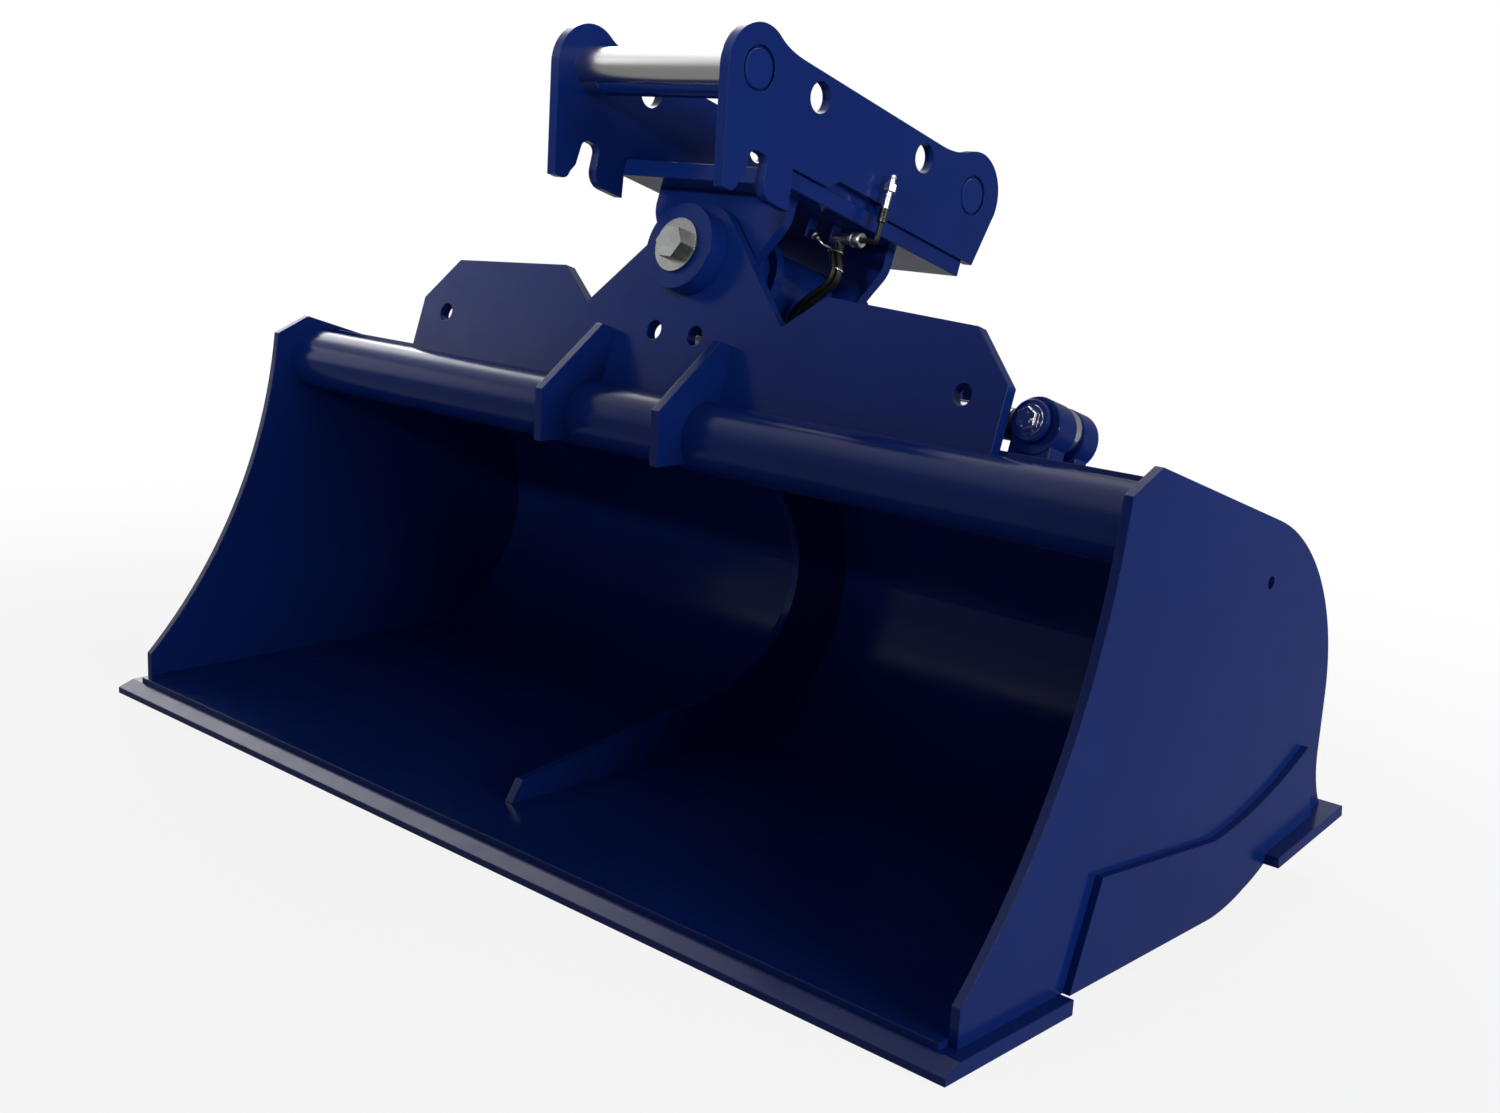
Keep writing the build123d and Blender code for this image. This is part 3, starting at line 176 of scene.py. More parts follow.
def add_world():
    """White behind the object, a soft overhead light in reflections, and a low even light on surfaces."""
    world = bpy.data.worlds.new("studio")
    world.use_nodes = True
    tree = world.node_tree
    tree.nodes.clear()
    rays = tree.nodes.new("ShaderNodeLightPath").outputs
    everywhere = tree.nodes.new("ShaderNodeTexCoord").outputs["Generated"]
    direction = tree.nodes.new("ShaderNodeSeparateXYZ")
    tree.links.new(everywhere, direction.inputs[0])
    ambient = tree.nodes.new("ShaderNodeBackground")
    ambient.inputs["Color"].default_value = AMBIENT_COLOUR
    ambient.inputs["Strength"].default_value = AMBIENT_STRENGTH
    mirrored = tree.nodes.new("ShaderNodeBackground")
    strength = mapped(tree, direction.outputs["Z"], SKY_FROM, SKY_TO, SKY_LOW, SKY_HIGH)
    for towards, power, edge, core in REFLECTED_BOXES:
        box = tree.nodes.new("ShaderNodeVectorMath")
        box.operation = "DOT_PRODUCT"
        box.inputs[1].default_value = Vector(towards).normalized()
        tree.links.new(everywhere, box.inputs[0])
        strength = summed(tree, strength, mapped(tree, box.outputs["Value"], edge, core, 0, power))
    tree.links.new(strength, mirrored.inputs["Strength"])
    shown = tree.nodes.new("ShaderNodeBackground")
    shown.inputs["Color"].default_value = WHITE
    shown.inputs["Strength"].default_value = 1.0
    reflections = tree.nodes.new("ShaderNodeMixShader")
    tree.links.new(rays["Is Glossy Ray"], reflections.inputs[0])
    tree.links.new(ambient.outputs[0], reflections.inputs[1])
    tree.links.new(mirrored.outputs[0], reflections.inputs[2])
    behind = tree.nodes.new("ShaderNodeMixShader")
    tree.links.new(larger(tree, rays["Is Camera Ray"], rays["Is Transmission Ray"]), behind.inputs[0])
    tree.links.new(reflections.outputs[0], behind.inputs[1])
    tree.links.new(shown.outputs[0], behind.inputs[2])
    out = tree.nodes.new("ShaderNodeOutputWorld")
    tree.links.new(behind.outputs[0], out.inputs["Surface"])
    bpy.context.scene.world = world


def add_floor():
    """A pale matt floor that turns into plain white away from the object, and keeps the object's shadow."""
    mesh = bpy.data.meshes.new("floor")
    half = FLOOR_SIZE / 2
    corners = [(x, y, -FLOOR_DROP) for x, y in ((-half, -half), (half, -half), (half, half), (-half, half))]
    mesh.from_pydata(corners, [], [(0, 1, 2, 3)])
    floor = bpy.data.objects.new("floor", mesh)
    bpy.context.scene.collection.objects.link(floor)
    material = bpy.data.materials.new("floor")
    material.use_nodes = True
    tree = material.node_tree
    tree.nodes.clear()
    rays = tree.nodes.new("ShaderNodeLightPath").outputs
    matt = tree.nodes.new("ShaderNodeBsdfDiffuse")
    matt.inputs["Color"].default_value = FLOOR_COLOUR
    glow = tree.nodes.new("ShaderNodeEmission")
    tree.links.new(mapped(tree, rays["Is Glossy Ray"], 0, 1, 1.0, SKY_LOW), glow.inputs["Strength"])
    distance = tree.nodes.new("ShaderNodeVectorMath")
    distance.operation = "LENGTH"
    tree.links.new(tree.nodes.new("ShaderNodeTexCoord").outputs["Object"], distance.inputs[0])
    fade = (FLOOR_FADE_FROM, FLOOR_FADE_TO, FLOOR_WHITE_NEAR, FLOOR_WHITE_FAR)
    whiteness = mapped(tree, distance.outputs["Value"], *fade)
    straight = larger(tree, rays["Is Camera Ray"], rays["Is Transmission Ray"])
    seen = larger(tree, straight, rays["Is Glossy Ray"])
    mix = tree.nodes.new("ShaderNodeMixShader")
    out = tree.nodes.new("ShaderNodeOutputMaterial")
    tree.links.new(calculated(tree, "MULTIPLY", seen, whiteness), mix.inputs[0])
    tree.links.new(matt.outputs[0], mix.inputs[1])
    tree.links.new(glow.outputs[0], mix.inputs[2])
    tree.links.new(mix.outputs[0], out.inputs["Surface"])
    mesh.materials.append(material)


def add_lamp(name, place, target, width, height, power, spread):
    data = bpy.data.lights.new(name, "AREA")
    data.shape = "RECTANGLE"
    data.size = width
    data.size_y = height
    data.energy = power
    data.spread = math.radians(spread)
    lamp = bpy.data.objects.new(name, data)
    lamp.location = place
    lamp.rotation_mode = "QUATERNION"
    lamp.rotation_quaternion = (Vector(target) - Vector(place)).to_track_quat("-Z", "Y")
    bpy.context.scene.collection.objects.link(lamp)


# Materials


def new_material(name):
    """A material with its node tree, its shader and an object coordinate."""
    material = bpy.data.materials.new(name)
    material.use_nodes = True
    tree = material.node_tree
    shader = tree.nodes["Principled BSDF"]
    coordinate = tree.nodes.new("ShaderNodeTexCoord").outputs["Object"]
    return material, tree, shader, coordinate


def noise(tree, coordinate, scale, detail=3.0, stretch=(1, 1, 1)):
    mapping = tree.nodes.new("ShaderNodeMapping")
    mapping.inputs["Scale"].default_value = stretch
    tree.links.new(coordinate, mapping.inputs["Vector"])
    texture = tree.nodes.new("ShaderNodeTexNoise")
    texture.inputs["Scale"].default_value = scale
    texture.inputs["Detail"].default_value = detail
    tree.links.new(mapping.outputs[0], texture.inputs["Vector"])
    return texture.outputs["Fac"]


def spread_over(tree, factor, low, high):
    """The factor's middle range laid out from low to high."""
    ranged = tree.nodes.new("ShaderNodeMapRange")
    ranged.inputs["From Min"].default_value = 0.3
    ranged.inputs["From Max"].default_value = 0.7
    ranged.inputs["To Min"].default_value = low
    ranged.inputs["To Max"].default_value = high
    tree.links.new(factor, ranged.inputs["Value"])
    return ranged.outputs["Result"]


def mixed_colour(tree, factor, first, second):
    mix = tree.nodes.new("ShaderNodeMix")
    mix.data_type = "RGBA"
    mix.inputs["A"].default_value = (*first, 1)
    mix.inputs["B"].default_value = (*second, 1)
    tree.links.new(factor, mix.inputs["Factor"])
    return mix.outputs["Result"]


def mixed_value(tree, factor, first, second):
    mix = tree.nodes.new("ShaderNodeMix")
    mix.data_type = "FLOAT"
    mix.inputs["A"].default_value = first
    mix.inputs["B"].default_value = second
    tree.links.new(factor, mix.inputs["Factor"])
    return mix.outputs["Result"]


def rounded_normal(tree, radius):
    """A normal that rounds sharp edges, so that they catch a thin line of light."""
    bevel = tree.nodes.new("ShaderNodeBevel")
    bevel.samples = 4
    bevel.inputs["Radius"].default_value = radius
    return bevel.outputs["Normal"]


def bump(tree, height, strength, distance, normal=None):
    node = tree.nodes.new("ShaderNodeBump")
    node.inputs["Strength"].default_value = strength
    node.inputs["Distance"].default_value = distance
    tree.links.new(height, node.inputs["Height"])
    if normal is not None:
        tree.links.new(normal, node.inputs["Normal"])
    return node.outputs["Normal"]


PAINT_LOW = (0.0030, 0.0165, 0.125)
PAINT_HIGH = (0.0040, 0.0205, 0.150)
PAINT_SPECULAR = 0.14
PAINT_EDGE = 0.0016
PAINT_OVERLAP = 0.0004
GROUND_STEEL = (0.62, 0.62, 0.61)
# Bare steel of the bolt head's sides, round the painted reflection on its face
BOLT_SIDE_STEEL = (0.60, 0.59, 0.57)


def paint_material():
    """Blue paint with slight clouds in its colour, uneven gloss and a fine orange peel."""
    material, tree, shader, coordinate = new_material("blue_paint")
    cloud = noise(tree, coordinate, 5.0, 4.0)
    colour = mixed_colour(tree, spread_over(tree, cloud, 0, 1), PAINT_LOW, PAINT_HIGH)
    tree.links.new(colour, shader.inputs["Base Color"])
    flow = noise(tree, coordinate, 28.0, 2.0)
    tree.links.new(spread_over(tree, flow, 0.16, 0.24), shader.inputs["Roughness"])
    shader.inputs["Specular IOR Level"].default_value = PAINT_SPECULAR
    peel = noise(tree, coordinate, 420.0, 1.0)
    tree.links.new(bump(tree, peel, 0.05, 0.0004, rounded_normal(tree, PAINT_EDGE)), shader.inputs["Normal"])
    return material


def metal_material(name, low, high, roughness, grain_scale, stretch, edge=0.0006):
    """Bare or plated metal with fine tool marks along one direction."""
    material, tree, shader, coordinate = new_material(name)
    cloud = noise(tree, coordinate, 30.0, 3.0)
    tree.links.new(mixed_colour(tree, spread_over(tree, cloud, 0, 1), low, high), shader.inputs["Base Color"])
    shader.inputs["Metallic"].default_value = 1.0
    grain = noise(tree, coordinate, grain_scale, 2.0, stretch)
    tree.links.new(spread_over(tree, grain, roughness * 0.8, roughness * 1.25), shader.inputs["Roughness"])
    tree.links.new(bump(tree, grain, 0.08, 0.0002, rounded_normal(tree, edge)), shader.inputs["Normal"])
    return material


def pin_material():
    """Bright ground steel between the cheeks, and paint on the ends that sit in them."""
    material, tree, shader, coordinate = new_material("painted_end_pin")
    parts = tree.nodes.new("ShaderNodeSeparateXYZ")
    tree.links.new(coordinate, parts.inputs[0])
    across = tree.nodes.new("ShaderNodeMath")
    across.operation = "ABSOLUTE"
    tree.links.new(parts.outputs["X"], across.inputs[0])
    painted = tree.nodes.new("ShaderNodeMath")
    painted.operation = "GREATER_THAN"
    painted.inputs[1].default_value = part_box("hitch_cheek_right")[0].x - PAINT_OVERLAP
    tree.links.new(across.outputs[0], painted.inputs[0])
    colour = mixed_colour(tree, painted.outputs[0], GROUND_STEEL, PAINT_HIGH)
    tree.links.new(colour, shader.inputs["Base Color"])
    tree.links.new(mixed_value(tree, painted.outputs[0], 1.0, 0.0), shader.inputs["Metallic"])
    tree.links.new(mixed_value(tree, painted.outputs[0], 0.24, 0.2), shader.inputs["Roughness"])
    shader.inputs["Specular IOR Level"].default_value = PAINT_SPECULAR
    grain = noise(tree, coordinate, 60.0, 2.0, (30, 1, 1))
    tree.links.new(bump(tree, grain, 0.06, 0.0002, rounded_normal(tree, 0.0008)), shader.inputs["Normal"])
    return material


def rubber_material(name, colour, roughness):
    """Matt rubber with a fine grain, a little darker in patches."""
    material, tree, shader, coordinate = new_material(name)
    cloud = noise(tree, coordinate, 90.0, 3.0)
    darker = tuple(0.6 * part for part in colour)
    clouded = mixed_colour(tree, spread_over(tree, cloud, 0, 1), darker, colour)
    tree.links.new(clouded, shader.inputs["Base Color"])
    tree.links.new(spread_over(tree, cloud, roughness * 0.85, roughness * 1.2), shader.inputs["Roughness"])
    shader.inputs["Specular IOR Level"].default_value = 0.3
    fine = noise(tree, coordinate, 900.0, 2.0)
    tree.links.new(bump(tree, fine, 0.12, 0.0003), shader.inputs["Normal"])
    return material


def bolt_reflection_material():
    """Bolt head in bright steel, with a painted reflection of the blue parts round it on the face that looks
    forward along the pivot.
    """
    material, tree, shader, coordinate = new_material("bolt_with_painted_reflection")
    facing = tree.nodes.new("ShaderNodeVectorMath")
    facing.operation = "DOT_PRODUCT"
    facing.inputs[1].default_value = -ALONG
    tree.links.new(tree.nodes.new("ShaderNodeNewGeometry").outputs["True Normal"], facing.inputs[0])
    # Noise gives the painted reflection on the bolt head's face a ragged edge
    reflection_edge_noise = spread_over(tree, noise(tree, coordinate, 160.0, 4.0), -0.25, 0.25)
    share = mapped(tree, summed(tree, facing.outputs["Value"], reflection_edge_noise), 0.75, 0.85, 0.0, 1.0)
    tree.links.new(mixed_colour(tree, share, BOLT_SIDE_STEEL, PAINT_HIGH), shader.inputs["Base Color"])
    tree.links.new(mixed_value(tree, share, 1.0, 0.0), shader.inputs["Metallic"])
    tree.links.new(mixed_value(tree, share, 0.28, 0.22), shader.inputs["Roughness"])
    shader.inputs["Specular IOR Level"].default_value = PAINT_SPECULAR
    tree.links.new(rounded_normal(tree, 0.0006), shader.inputs["Normal"])
    return material


# Finishes. A metal has a darker and a lighter colour, its roughness, and the scale of its tool marks.

paint = paint_material()
zinc = metal_material("bright_steel", (0.52, 0.53, 0.53), (0.66, 0.67, 0.67), 0.30, 120.0, (1, 8, 1))
chrome = metal_material("chrome", (0.70, 0.71, 0.73), (0.80, 0.81, 0.82), 0.09, 60.0, (40, 1, 1))
bronze = metal_material("bush_bronze", (0.42, 0.24, 0.09), (0.55, 0.33, 0.13), 0.35, 150.0, (1, 6, 1))
dark_steel = metal_material("black_steel", (0.03, 0.03, 0.032), (0.055, 0.055, 0.058), 0.32, 150.0, (1, 1, 8))
rubber = rubber_material("black_rubber", (0.006, 0.006, 0.007), 0.42)
seal = rubber_material("seal_rubber", (0.02, 0.02, 0.02), 0.5)
pin_steel = pin_material()
# Bolt head finish with a painted reflection on its front face
bolt_reflection_finish = bolt_reflection_material()
dull_steel = metal_material("dull_steel", (0.26, 0.265, 0.265), (0.34, 0.345, 0.345), 0.24, 90.0, (1, 5, 1))
forged = metal_material("forged_steel", (0.16, 0.15, 0.12), (0.22, 0.20, 0.16), 0.42, 40.0, (1, 1, 1))

# Finish of each material slot in the record
MATERIAL_OF_SLOT = {
    "blue_paint": paint,
    "bright_steel": zinc,
    "chrome": chrome,
    "bush_bronze": bronze,
    "black_rubber": rubber,
    "seal_rubber": seal,
    "black_steel": dark_steel,
}

# Nodes whose finish differs from their slot's
OWN_FINISH = {
    "front_hitch_pin": pin_steel,
    "rear_hitch_pin": pin_steel,
    "pin_saddle_ends": pin_steel,
    "pivot_washers": dull_steel,
    "pivot_bolts": dull_steel,
}


def dress_nodes():
    """Gives every CAD node its finish."""
    for entry in frame["record"]["subparts"]:
        name = entry["node"]
        finish = OWN_FINISH.get(name, MATERIAL_OF_SLOT[entry["material_slot"]])
        nodes[name].data.materials.clear()
        nodes[name].data.materials.append(finish)


# Pieces built in mesh code


def add_piece(name, mesh, material, smooth=True):
    """A piece with its finish."""
    piece = bpy.data.objects.new(name, mesh)
    bpy.context.scene.collection.objects.link(piece)
    mesh.materials.append(material)
    if smooth:
        mesh.shade_smooth()
    return piece


def route_line(points):
    """Points along the route's own smooth NURBS line."""
    curve = bpy.data.curves.new("route", "CURVE")
    curve.dimensions = "3D"
    curve.resolution_u = 10
    spline = curve.splines.new("NURBS")
    spline.points.add(len(points) - 1)
    for control, place in zip(spline.points, points):
        control.co = (*place, 1)
    spline.order_u = 3
    spline.use_endpoint_u = True
    holder = bpy.data.objects.new("route", curve)
    line = bpy.data.meshes.new_from_object(holder)
    places = [vertex.co.copy() for vertex in line.vertices]
    bpy.data.objects.remove(holder)
    bpy.data.curves.remove(curve)
    bpy.data.meshes.remove(line)
    return places


def tube_mesh(name, line, radius, closed=False, sides=HOSE_SIDES):
    """A tube of one radius along a line, with turning kept out of its sections. A closed one is a ring."""
    mesh_builder = bmesh.new()
    side = (line[1] - line[0]).normalized().orthogonal().normalized()
    rings = []
    for index, place in enumerate(line):
        before = line[index - 1] if closed or index else line[0]
        after = line[(index + 1) % len(line)] if closed or index + 1 < len(line) else line[-1]
        new_ahead = (after - before).normalized()
        side = (side - new_ahead * side.dot(new_ahead)).normalized()
        other = new_ahead.cross(side)
        rings.append(round_ring(mesh_builder, place, radius, side, other, sides))
    for first, second in zip(rings, rings[1:]):
        join_rings(mesh_builder, first, second)
    if closed:
        join_rings(mesh_builder, rings[-1], rings[0])
    else:
        mesh_builder.faces.new(list(reversed(rings[0])))
        mesh_builder.faces.new(rings[-1])
    return finished_mesh(mesh_builder, name)


def round_ring(mesh_builder, centre, radius, side, other, sides):
    ring = []
    for step in range(sides):
        turn = 2 * math.pi * step / sides
        outward = math.cos(turn) * side + math.sin(turn) * other
        ring.append(mesh_builder.verts.new(centre + radius * outward))
    return ring


def join_rings(mesh_builder, first, second):
    for step in range(len(first)):
        after = (step + 1) % len(first)
        mesh_builder.faces.new((first[step], first[after], second[after], second[step]))


def finished_mesh(mesh_builder, name):
    bmesh.ops.recalc_face_normals(mesh_builder, faces=mesh_builder.faces)
    mesh = bpy.data.meshes.new(name)
    mesh_builder.to_mesh(mesh)
    mesh_builder.free()
    return mesh


def turned_mesh(name, shells):
    """Closed turned or hexagon shells: start, direction, sides, and a profile of (distance, radius)."""
    mesh_builder = bmesh.new()
    for start, ahead, sides, profile in shells:
        ahead = Vector(ahead).normalized()
        side = (UP - ahead * UP.dot(ahead)).normalized() if abs(ahead.dot(UP)) < 0.9 else ACROSS
        other = ahead.cross(side)
        rings = []
        for distance, radius in profile:
            centre = Vector(start) + ahead * distance
            rings.append(round_ring(mesh_builder, centre, radius, side, other, sides))
        for first, second in zip(rings, rings[1:]):
            join_rings(mesh_builder, first, second)
        mesh_builder.faces.new(list(reversed(rings[0])))
        mesh_builder.faces.new(rings[-1])
    mesh = finished_mesh(mesh_builder, name)
    mesh.shade_smooth()
    mesh.set_sharp_from_angle(angle=SHARP_ANGLE)
    return mesh


def add_turned(name, shells, material, slot, body, *replaced):
    """A turned piece that rides on a body and stands for the named nodes."""
    piece = add_piece(name, turned_mesh(name, shells), material, smooth=False)
    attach(piece, body)
    if replaced:
        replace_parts(piece, *replaced)
    return piece


def leaning_block(mesh_builder, low, high):
    """Box between two corners of the leaning frame, with its edges rounded."""
    made = bmesh.ops.create_cube(mesh_builder, size=1)["verts"]
    for vertex in made:
        place = [a + (b - a) * (0.5 + part) for a, b, part in zip(low, high, vertex.co)]
        vertex.co = leaning(*place)
    edges = {edge for vertex in made for edge in vertex.link_edges}
    bmesh.ops.bevel(mesh_builder, geom=list(edges), offset=BLOCK_ROUNDING, segments=2, affect="EDGES")


def add_blocks(name, boxes, body):
    """A painted piece of one or more boxes, given by their corners in the leaning frame."""
    mesh_builder = bmesh.new()
    for low, high in boxes:
        leaning_block(mesh_builder, low, high)
    piece = add_piece(name, finished_mesh(mesh_builder, name), paint, smooth=False)
    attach(piece, body)
    return piece


# Hoses, with their routes in the leaning frame. A cylinder hose starts at the junction block.

HOSE_ROUTES = {
    "hitch_hose_front": [
        (0.0965, 0.1300, 0.050),
        (0.1005, 0.1300, 0.039),
        (0.1062, 0.1300, 0.030),
        (0.1045, 0.1305, 0.0145),
        (0.0935, 0.1320, 0.004),
        (0.0730, 0.1360, -0.008),
        (0.0505, 0.1430, -0.0225),
        (0.0385, 0.1520, -0.038),
        (0.0160, 0.1680, -0.058),
        (-0.007, 0.1800, -0.0823),
        (-0.007, 0.1800, -0.1023),
    ],
    "hitch_hose_rear": [
        (0.1045, 0.1320, 0.050),
        (0.1090, 0.1320, 0.039),
        (0.1140, 0.1320, 0.030),
        (0.1122, 0.1330, 0.0145),
        (0.1005, 0.1350, 0.002),
        (0.0785, 0.1400, -0.011),
        (0.0560, 0.1490, -0.026),
        (0.0450, 0.1600, -0.043),
        (0.0330, 0.1740, -0.062),
        (0.023, 0.1800, -0.0823),
        (0.023, 0.1800, -0.1023),
    ],
    "cylinder_hose_near": [
        (0.053, 0.180, -0.1285),
        (0.080, 0.180, -0.1285),
        (0.080, 0.133, -0.1285),
    ],
    "cylinder_hose_far": [
        (0.053, 0.180, -0.1523),
        (0.103, 0.180, -0.1523),
        (0.163, 0.189, -0.1483),
        (0.223, 0.194, -0.1403),
        (0.278, 0.190, -0.1335),
        (0.306, 0.166, -0.1285),
        (0.306, 0.133, -0.1285),
    ],
}


def add_hoses():
    """The four hoses, each laid along its route in the row frame."""
    for name, route in HOSE_ROUTES.items():
        on_hitch = name.startswith("hitch")
        line = route_line([leaning(*point) for point in route])
        radius = HITCH_HOSE_RADIUS if on_hitch else CYLINDER_HOSE_RADIUS
        cover = name + "_cover"
        hose = add_piece(cover, tube_mesh(cover, line, radius), rubber)
        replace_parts(hose, name)
        if on_hitch:
            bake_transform(hose)
        else:
            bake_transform(hose)


# Fittings under the base plate. Profiles are lists of (distance, radius).

SLEEVE_S, SLEEVE_H = 0.131, 0.067
SLEEVE_START = 0.090
NUT_END = 0.137
REAR_CRIMP = (0.1045, 0.132, 0.064)
SECOND_S = 0.106
SECOND_START, SECOND_END = (0.0714, SECOND_S, 0.0680), (0.091, SECOND_S, 0.0576)
COUPLING_X = 0.159
FERRULE_LOW = 0.090
FERRULE_RADIUS, FERRULE_GROOVE = 0.0064, 0.0059
FERRULE_GROOVES, GROOVE_STEP = 4, 0.0036
ELBOW_RADIUS = 0.0035
STEEL_TUBE_RADIUS = 0.0016
WIRE_RADIUS = 0.0008
WIRE_SIDES = 10
HALF_HOSE_PITCH = 0.0040
STRAP_HALF_THICK, STRAP_HALF_WIDE, STRAP_TOP_H = 0.002, 0.008, 0.0822
STRAP_PLACES = ((0.092, SLEEVE_S, SLEEVE_H), (0.074, SECOND_S, 0.0655))

# Wire clamps: name, point of the hoses' routes that it goes round, lean, slack
WIRE_CLAMPS = (("wire_clamp_upper", 0, 0.0, 0.0012), ("wire_clamp_lower", 2, 0.35, 0.0))


def add_union():
    """Bright union of the rear hose, with a ring nut round the short hose."""
    body = [(0, 0.0050), (0.0015, 0.0066), (0.029, 0.0066), (0.0295, 0.0058), (0.031, 0.0058)]
    rim = [
        (0.031, 0.0070),
        (0.0325, 0.0090),
        (0.0345, 0.0090),
        (0.0355, 0.0078),
        (0.037, 0.0078),
        (0.038, 0.0094),
        (0.0452, 0.0094),
        (0.047, 0.0084),
        (0.047, 0.0074),
        (0.0458, 0.0070),
        (0.0462, 0.0064),
        (0.0462, 0.0042),
        (0.0440, 0.0036),
    ]
    shells = [(leaning(SLEEVE_START, SLEEVE_S, SLEEVE_H), ACROSS, ROUND, body + rim)]
    add_turned("bright_union", shells, zinc, "bright_steel", "hitch", "hose_sleeve")
    # The rear crimp takes the black finish as painted shade, dark where the base plate shades it
    crimp = [(0, 0.0042), (0.001, 0.0052), (0.013, 0.0052), (0.0145, 0.0044)]
    shells = [(leaning(*REAR_CRIMP), -UP, ROUND, crimp)]
    add_turned("rear_hose_crimp", shells, dark_steel, "black_steel", "hitch")


def add_second_union():
    """Small second union, and the bent steel tube from it to the end of the front hose."""
    start = leaning(*SECOND_START)
    ahead = leaning(*SECOND_END) - start
    shells = [
        (start, ahead, ROUND, [(0, 0.0026), (0.001, 0.0034), (0.006, 0.0034), (0.0065, 0.0026)]),
        (start, ahead, HEXAGON, [(0.0055, 0.0042), (0.0063, 0.0050), (0.0145, 0.0050), (0.0153, 0.0042)]),
        (start, ahead, ROUND, [(0.0145, 0.0030), (0.021, 0.0030), (0.0222, 0.0020)]),
    ]
    add_turned("small_union", shells, zinc, "bright_steel", "hitch", "second_union")
    bends = [
        (0.0895, SECOND_S, 0.0584),
        (0.0925, 0.1065, 0.0560),
        (0.0945, 0.1120, 0.0525),
        (0.0960, 0.1220, 0.0530),
        (0.0965, 0.1298, 0.0535),
        (0.0965, 0.1300, 0.0490),
    ]
    line = route_line([leaning(*point) for point in bends])
    mesh = tube_mesh("bent_steel_tube", line, STEEL_TUBE_RADIUS)
    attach(add_piece("bent_steel_tube", mesh, zinc), "hitch")


def add_wire_clamps():
    """Two wire clamps round the pair of hoses."""
    front = HOSE_ROUTES["hitch_hose_front"]
    rear = HOSE_ROUTES["hitch_hose_rear"]
    for name, index, lean_in, slack in WIRE_CLAMPS:
        middle = (leaning(*front[index]) + leaning(*rear[index])) / 2
        across = (leaning(*rear[index]) - leaning(*front[index])).normalized()
        down = (leaning(*front[index + 1]) - leaning(*front[max(index - 1, 0)])).normalized()
        deep = down.cross(across).normalized()
        across = (across + down * lean_in).normalized()
        reach = HALF_HOSE_PITCH + HITCH_HOSE_RADIUS + WIRE_RADIUS + slack
        depth = HITCH_HOSE_RADIUS + WIRE_RADIUS + slack
        ring = []
        for step in range(ROUND):
            turn = 2 * math.pi * step / ROUND
            ring.append(middle + reach * math.cos(turn) * across + depth * math.sin(turn) * deep)
        mesh = tube_mesh(name, ring, WIRE_RADIUS, closed=True, sides=WIRE_SIDES)
        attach(add_piece(name, mesh, zinc), "hitch")


def add_union_straps():
    """Two straps that hang the unions from the base plate."""
    boxes = []
    for x, s, h in STRAP_PLACES:
        low = (x - STRAP_HALF_THICK, s - STRAP_HALF_WIDE, h - STRAP_HALF_WIDE)
        high = (x + STRAP_HALF_THICK, s + STRAP_HALF_WIDE, STRAP_TOP_H)
        boxes.append((low, high))
    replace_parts(add_blocks("union_straps", boxes, "hitch"), "union_clips")


# Cheeks and base plate of the hitch. Outlines are lists of (s, h).

PIN_H = 0.183
FRONT_PIN_S, REAR_PIN_S = -0.120, 0.310
BOSS_RADIUS, REAR_BOSS_RADIUS = 0.049, 0.0543
REAR_BOSS = (0.311, 0.184)
CHEEK_OUTER, CHEEK_INNER = 0.145, 0.1315
CHEEK_TOP_H = 0.2185
LIFT_HOLES = ((-0.0125, 0.1905), (0.1965, 0.1925))
LIFT_HOLE_RADIUS = 0.018
LEG_LOW_H, TOE_S = 0.0465, -0.130
PIN_BORE, PIN_RING, PIN_RING_DEPTH = 0.0226, 0.0253, 0.0045
BASE_TOP_H = 0.102
BASE_REACH, BASE_LOW_H = 0.1390, 0.082
BASE_FRONT_S, BASE_REAR_S = -0.025, 0.330
BASE_GAP = 0.0001
ARCH_FRONT_S, ARCH_REAR_S, ARCH_H = 0.038, 0.152, 0.115
STAY_INNER, STAY_OUTER = 0.1250, 0.1312
STAY_PAST_ARCH, STAY_SINK, STAY_RISE = 0.002, 0.0002, 0.018
PLUG_PLACE = (0.1310, 0.1257, 0.1188)
HOOK_CENTRE, HOOK_RADIUS = (-0.047, 0.0765), 0.022
NOTCH_REAR_S, NOTCH_FRONT_S, NOTCH_H, NOTCH_RADIUS = -0.080, -0.091, 0.0905, 0.010
TOE_CENTRE_S, TOE_RADIUS = -0.119, 0.011


def arc(s, h, radius, start, end, steps=12):
    """Points of an arc in the cheek's plane, angles in degrees."""
    turns = [math.radians(start + (end - start) * step / steps) for step in range(steps + 1)]
    return [(s + radius * math.cos(turn), h + radius * math.sin(turn)) for turn in turns]


def eased(start, corner, end, steps=10):
    """Points of a soft corner from start to end."""
    points = []
    for step in range(steps + 1):
        share = step / steps
        weights = ((1 - share) ** 2, 2 * share * (1 - share), share ** 2)
        pulls = list(zip(weights, (start, corner, end)))
        points.append(tuple(sum(weight * place[k] for weight, place in pulls) for k in (0, 1)))
    return points


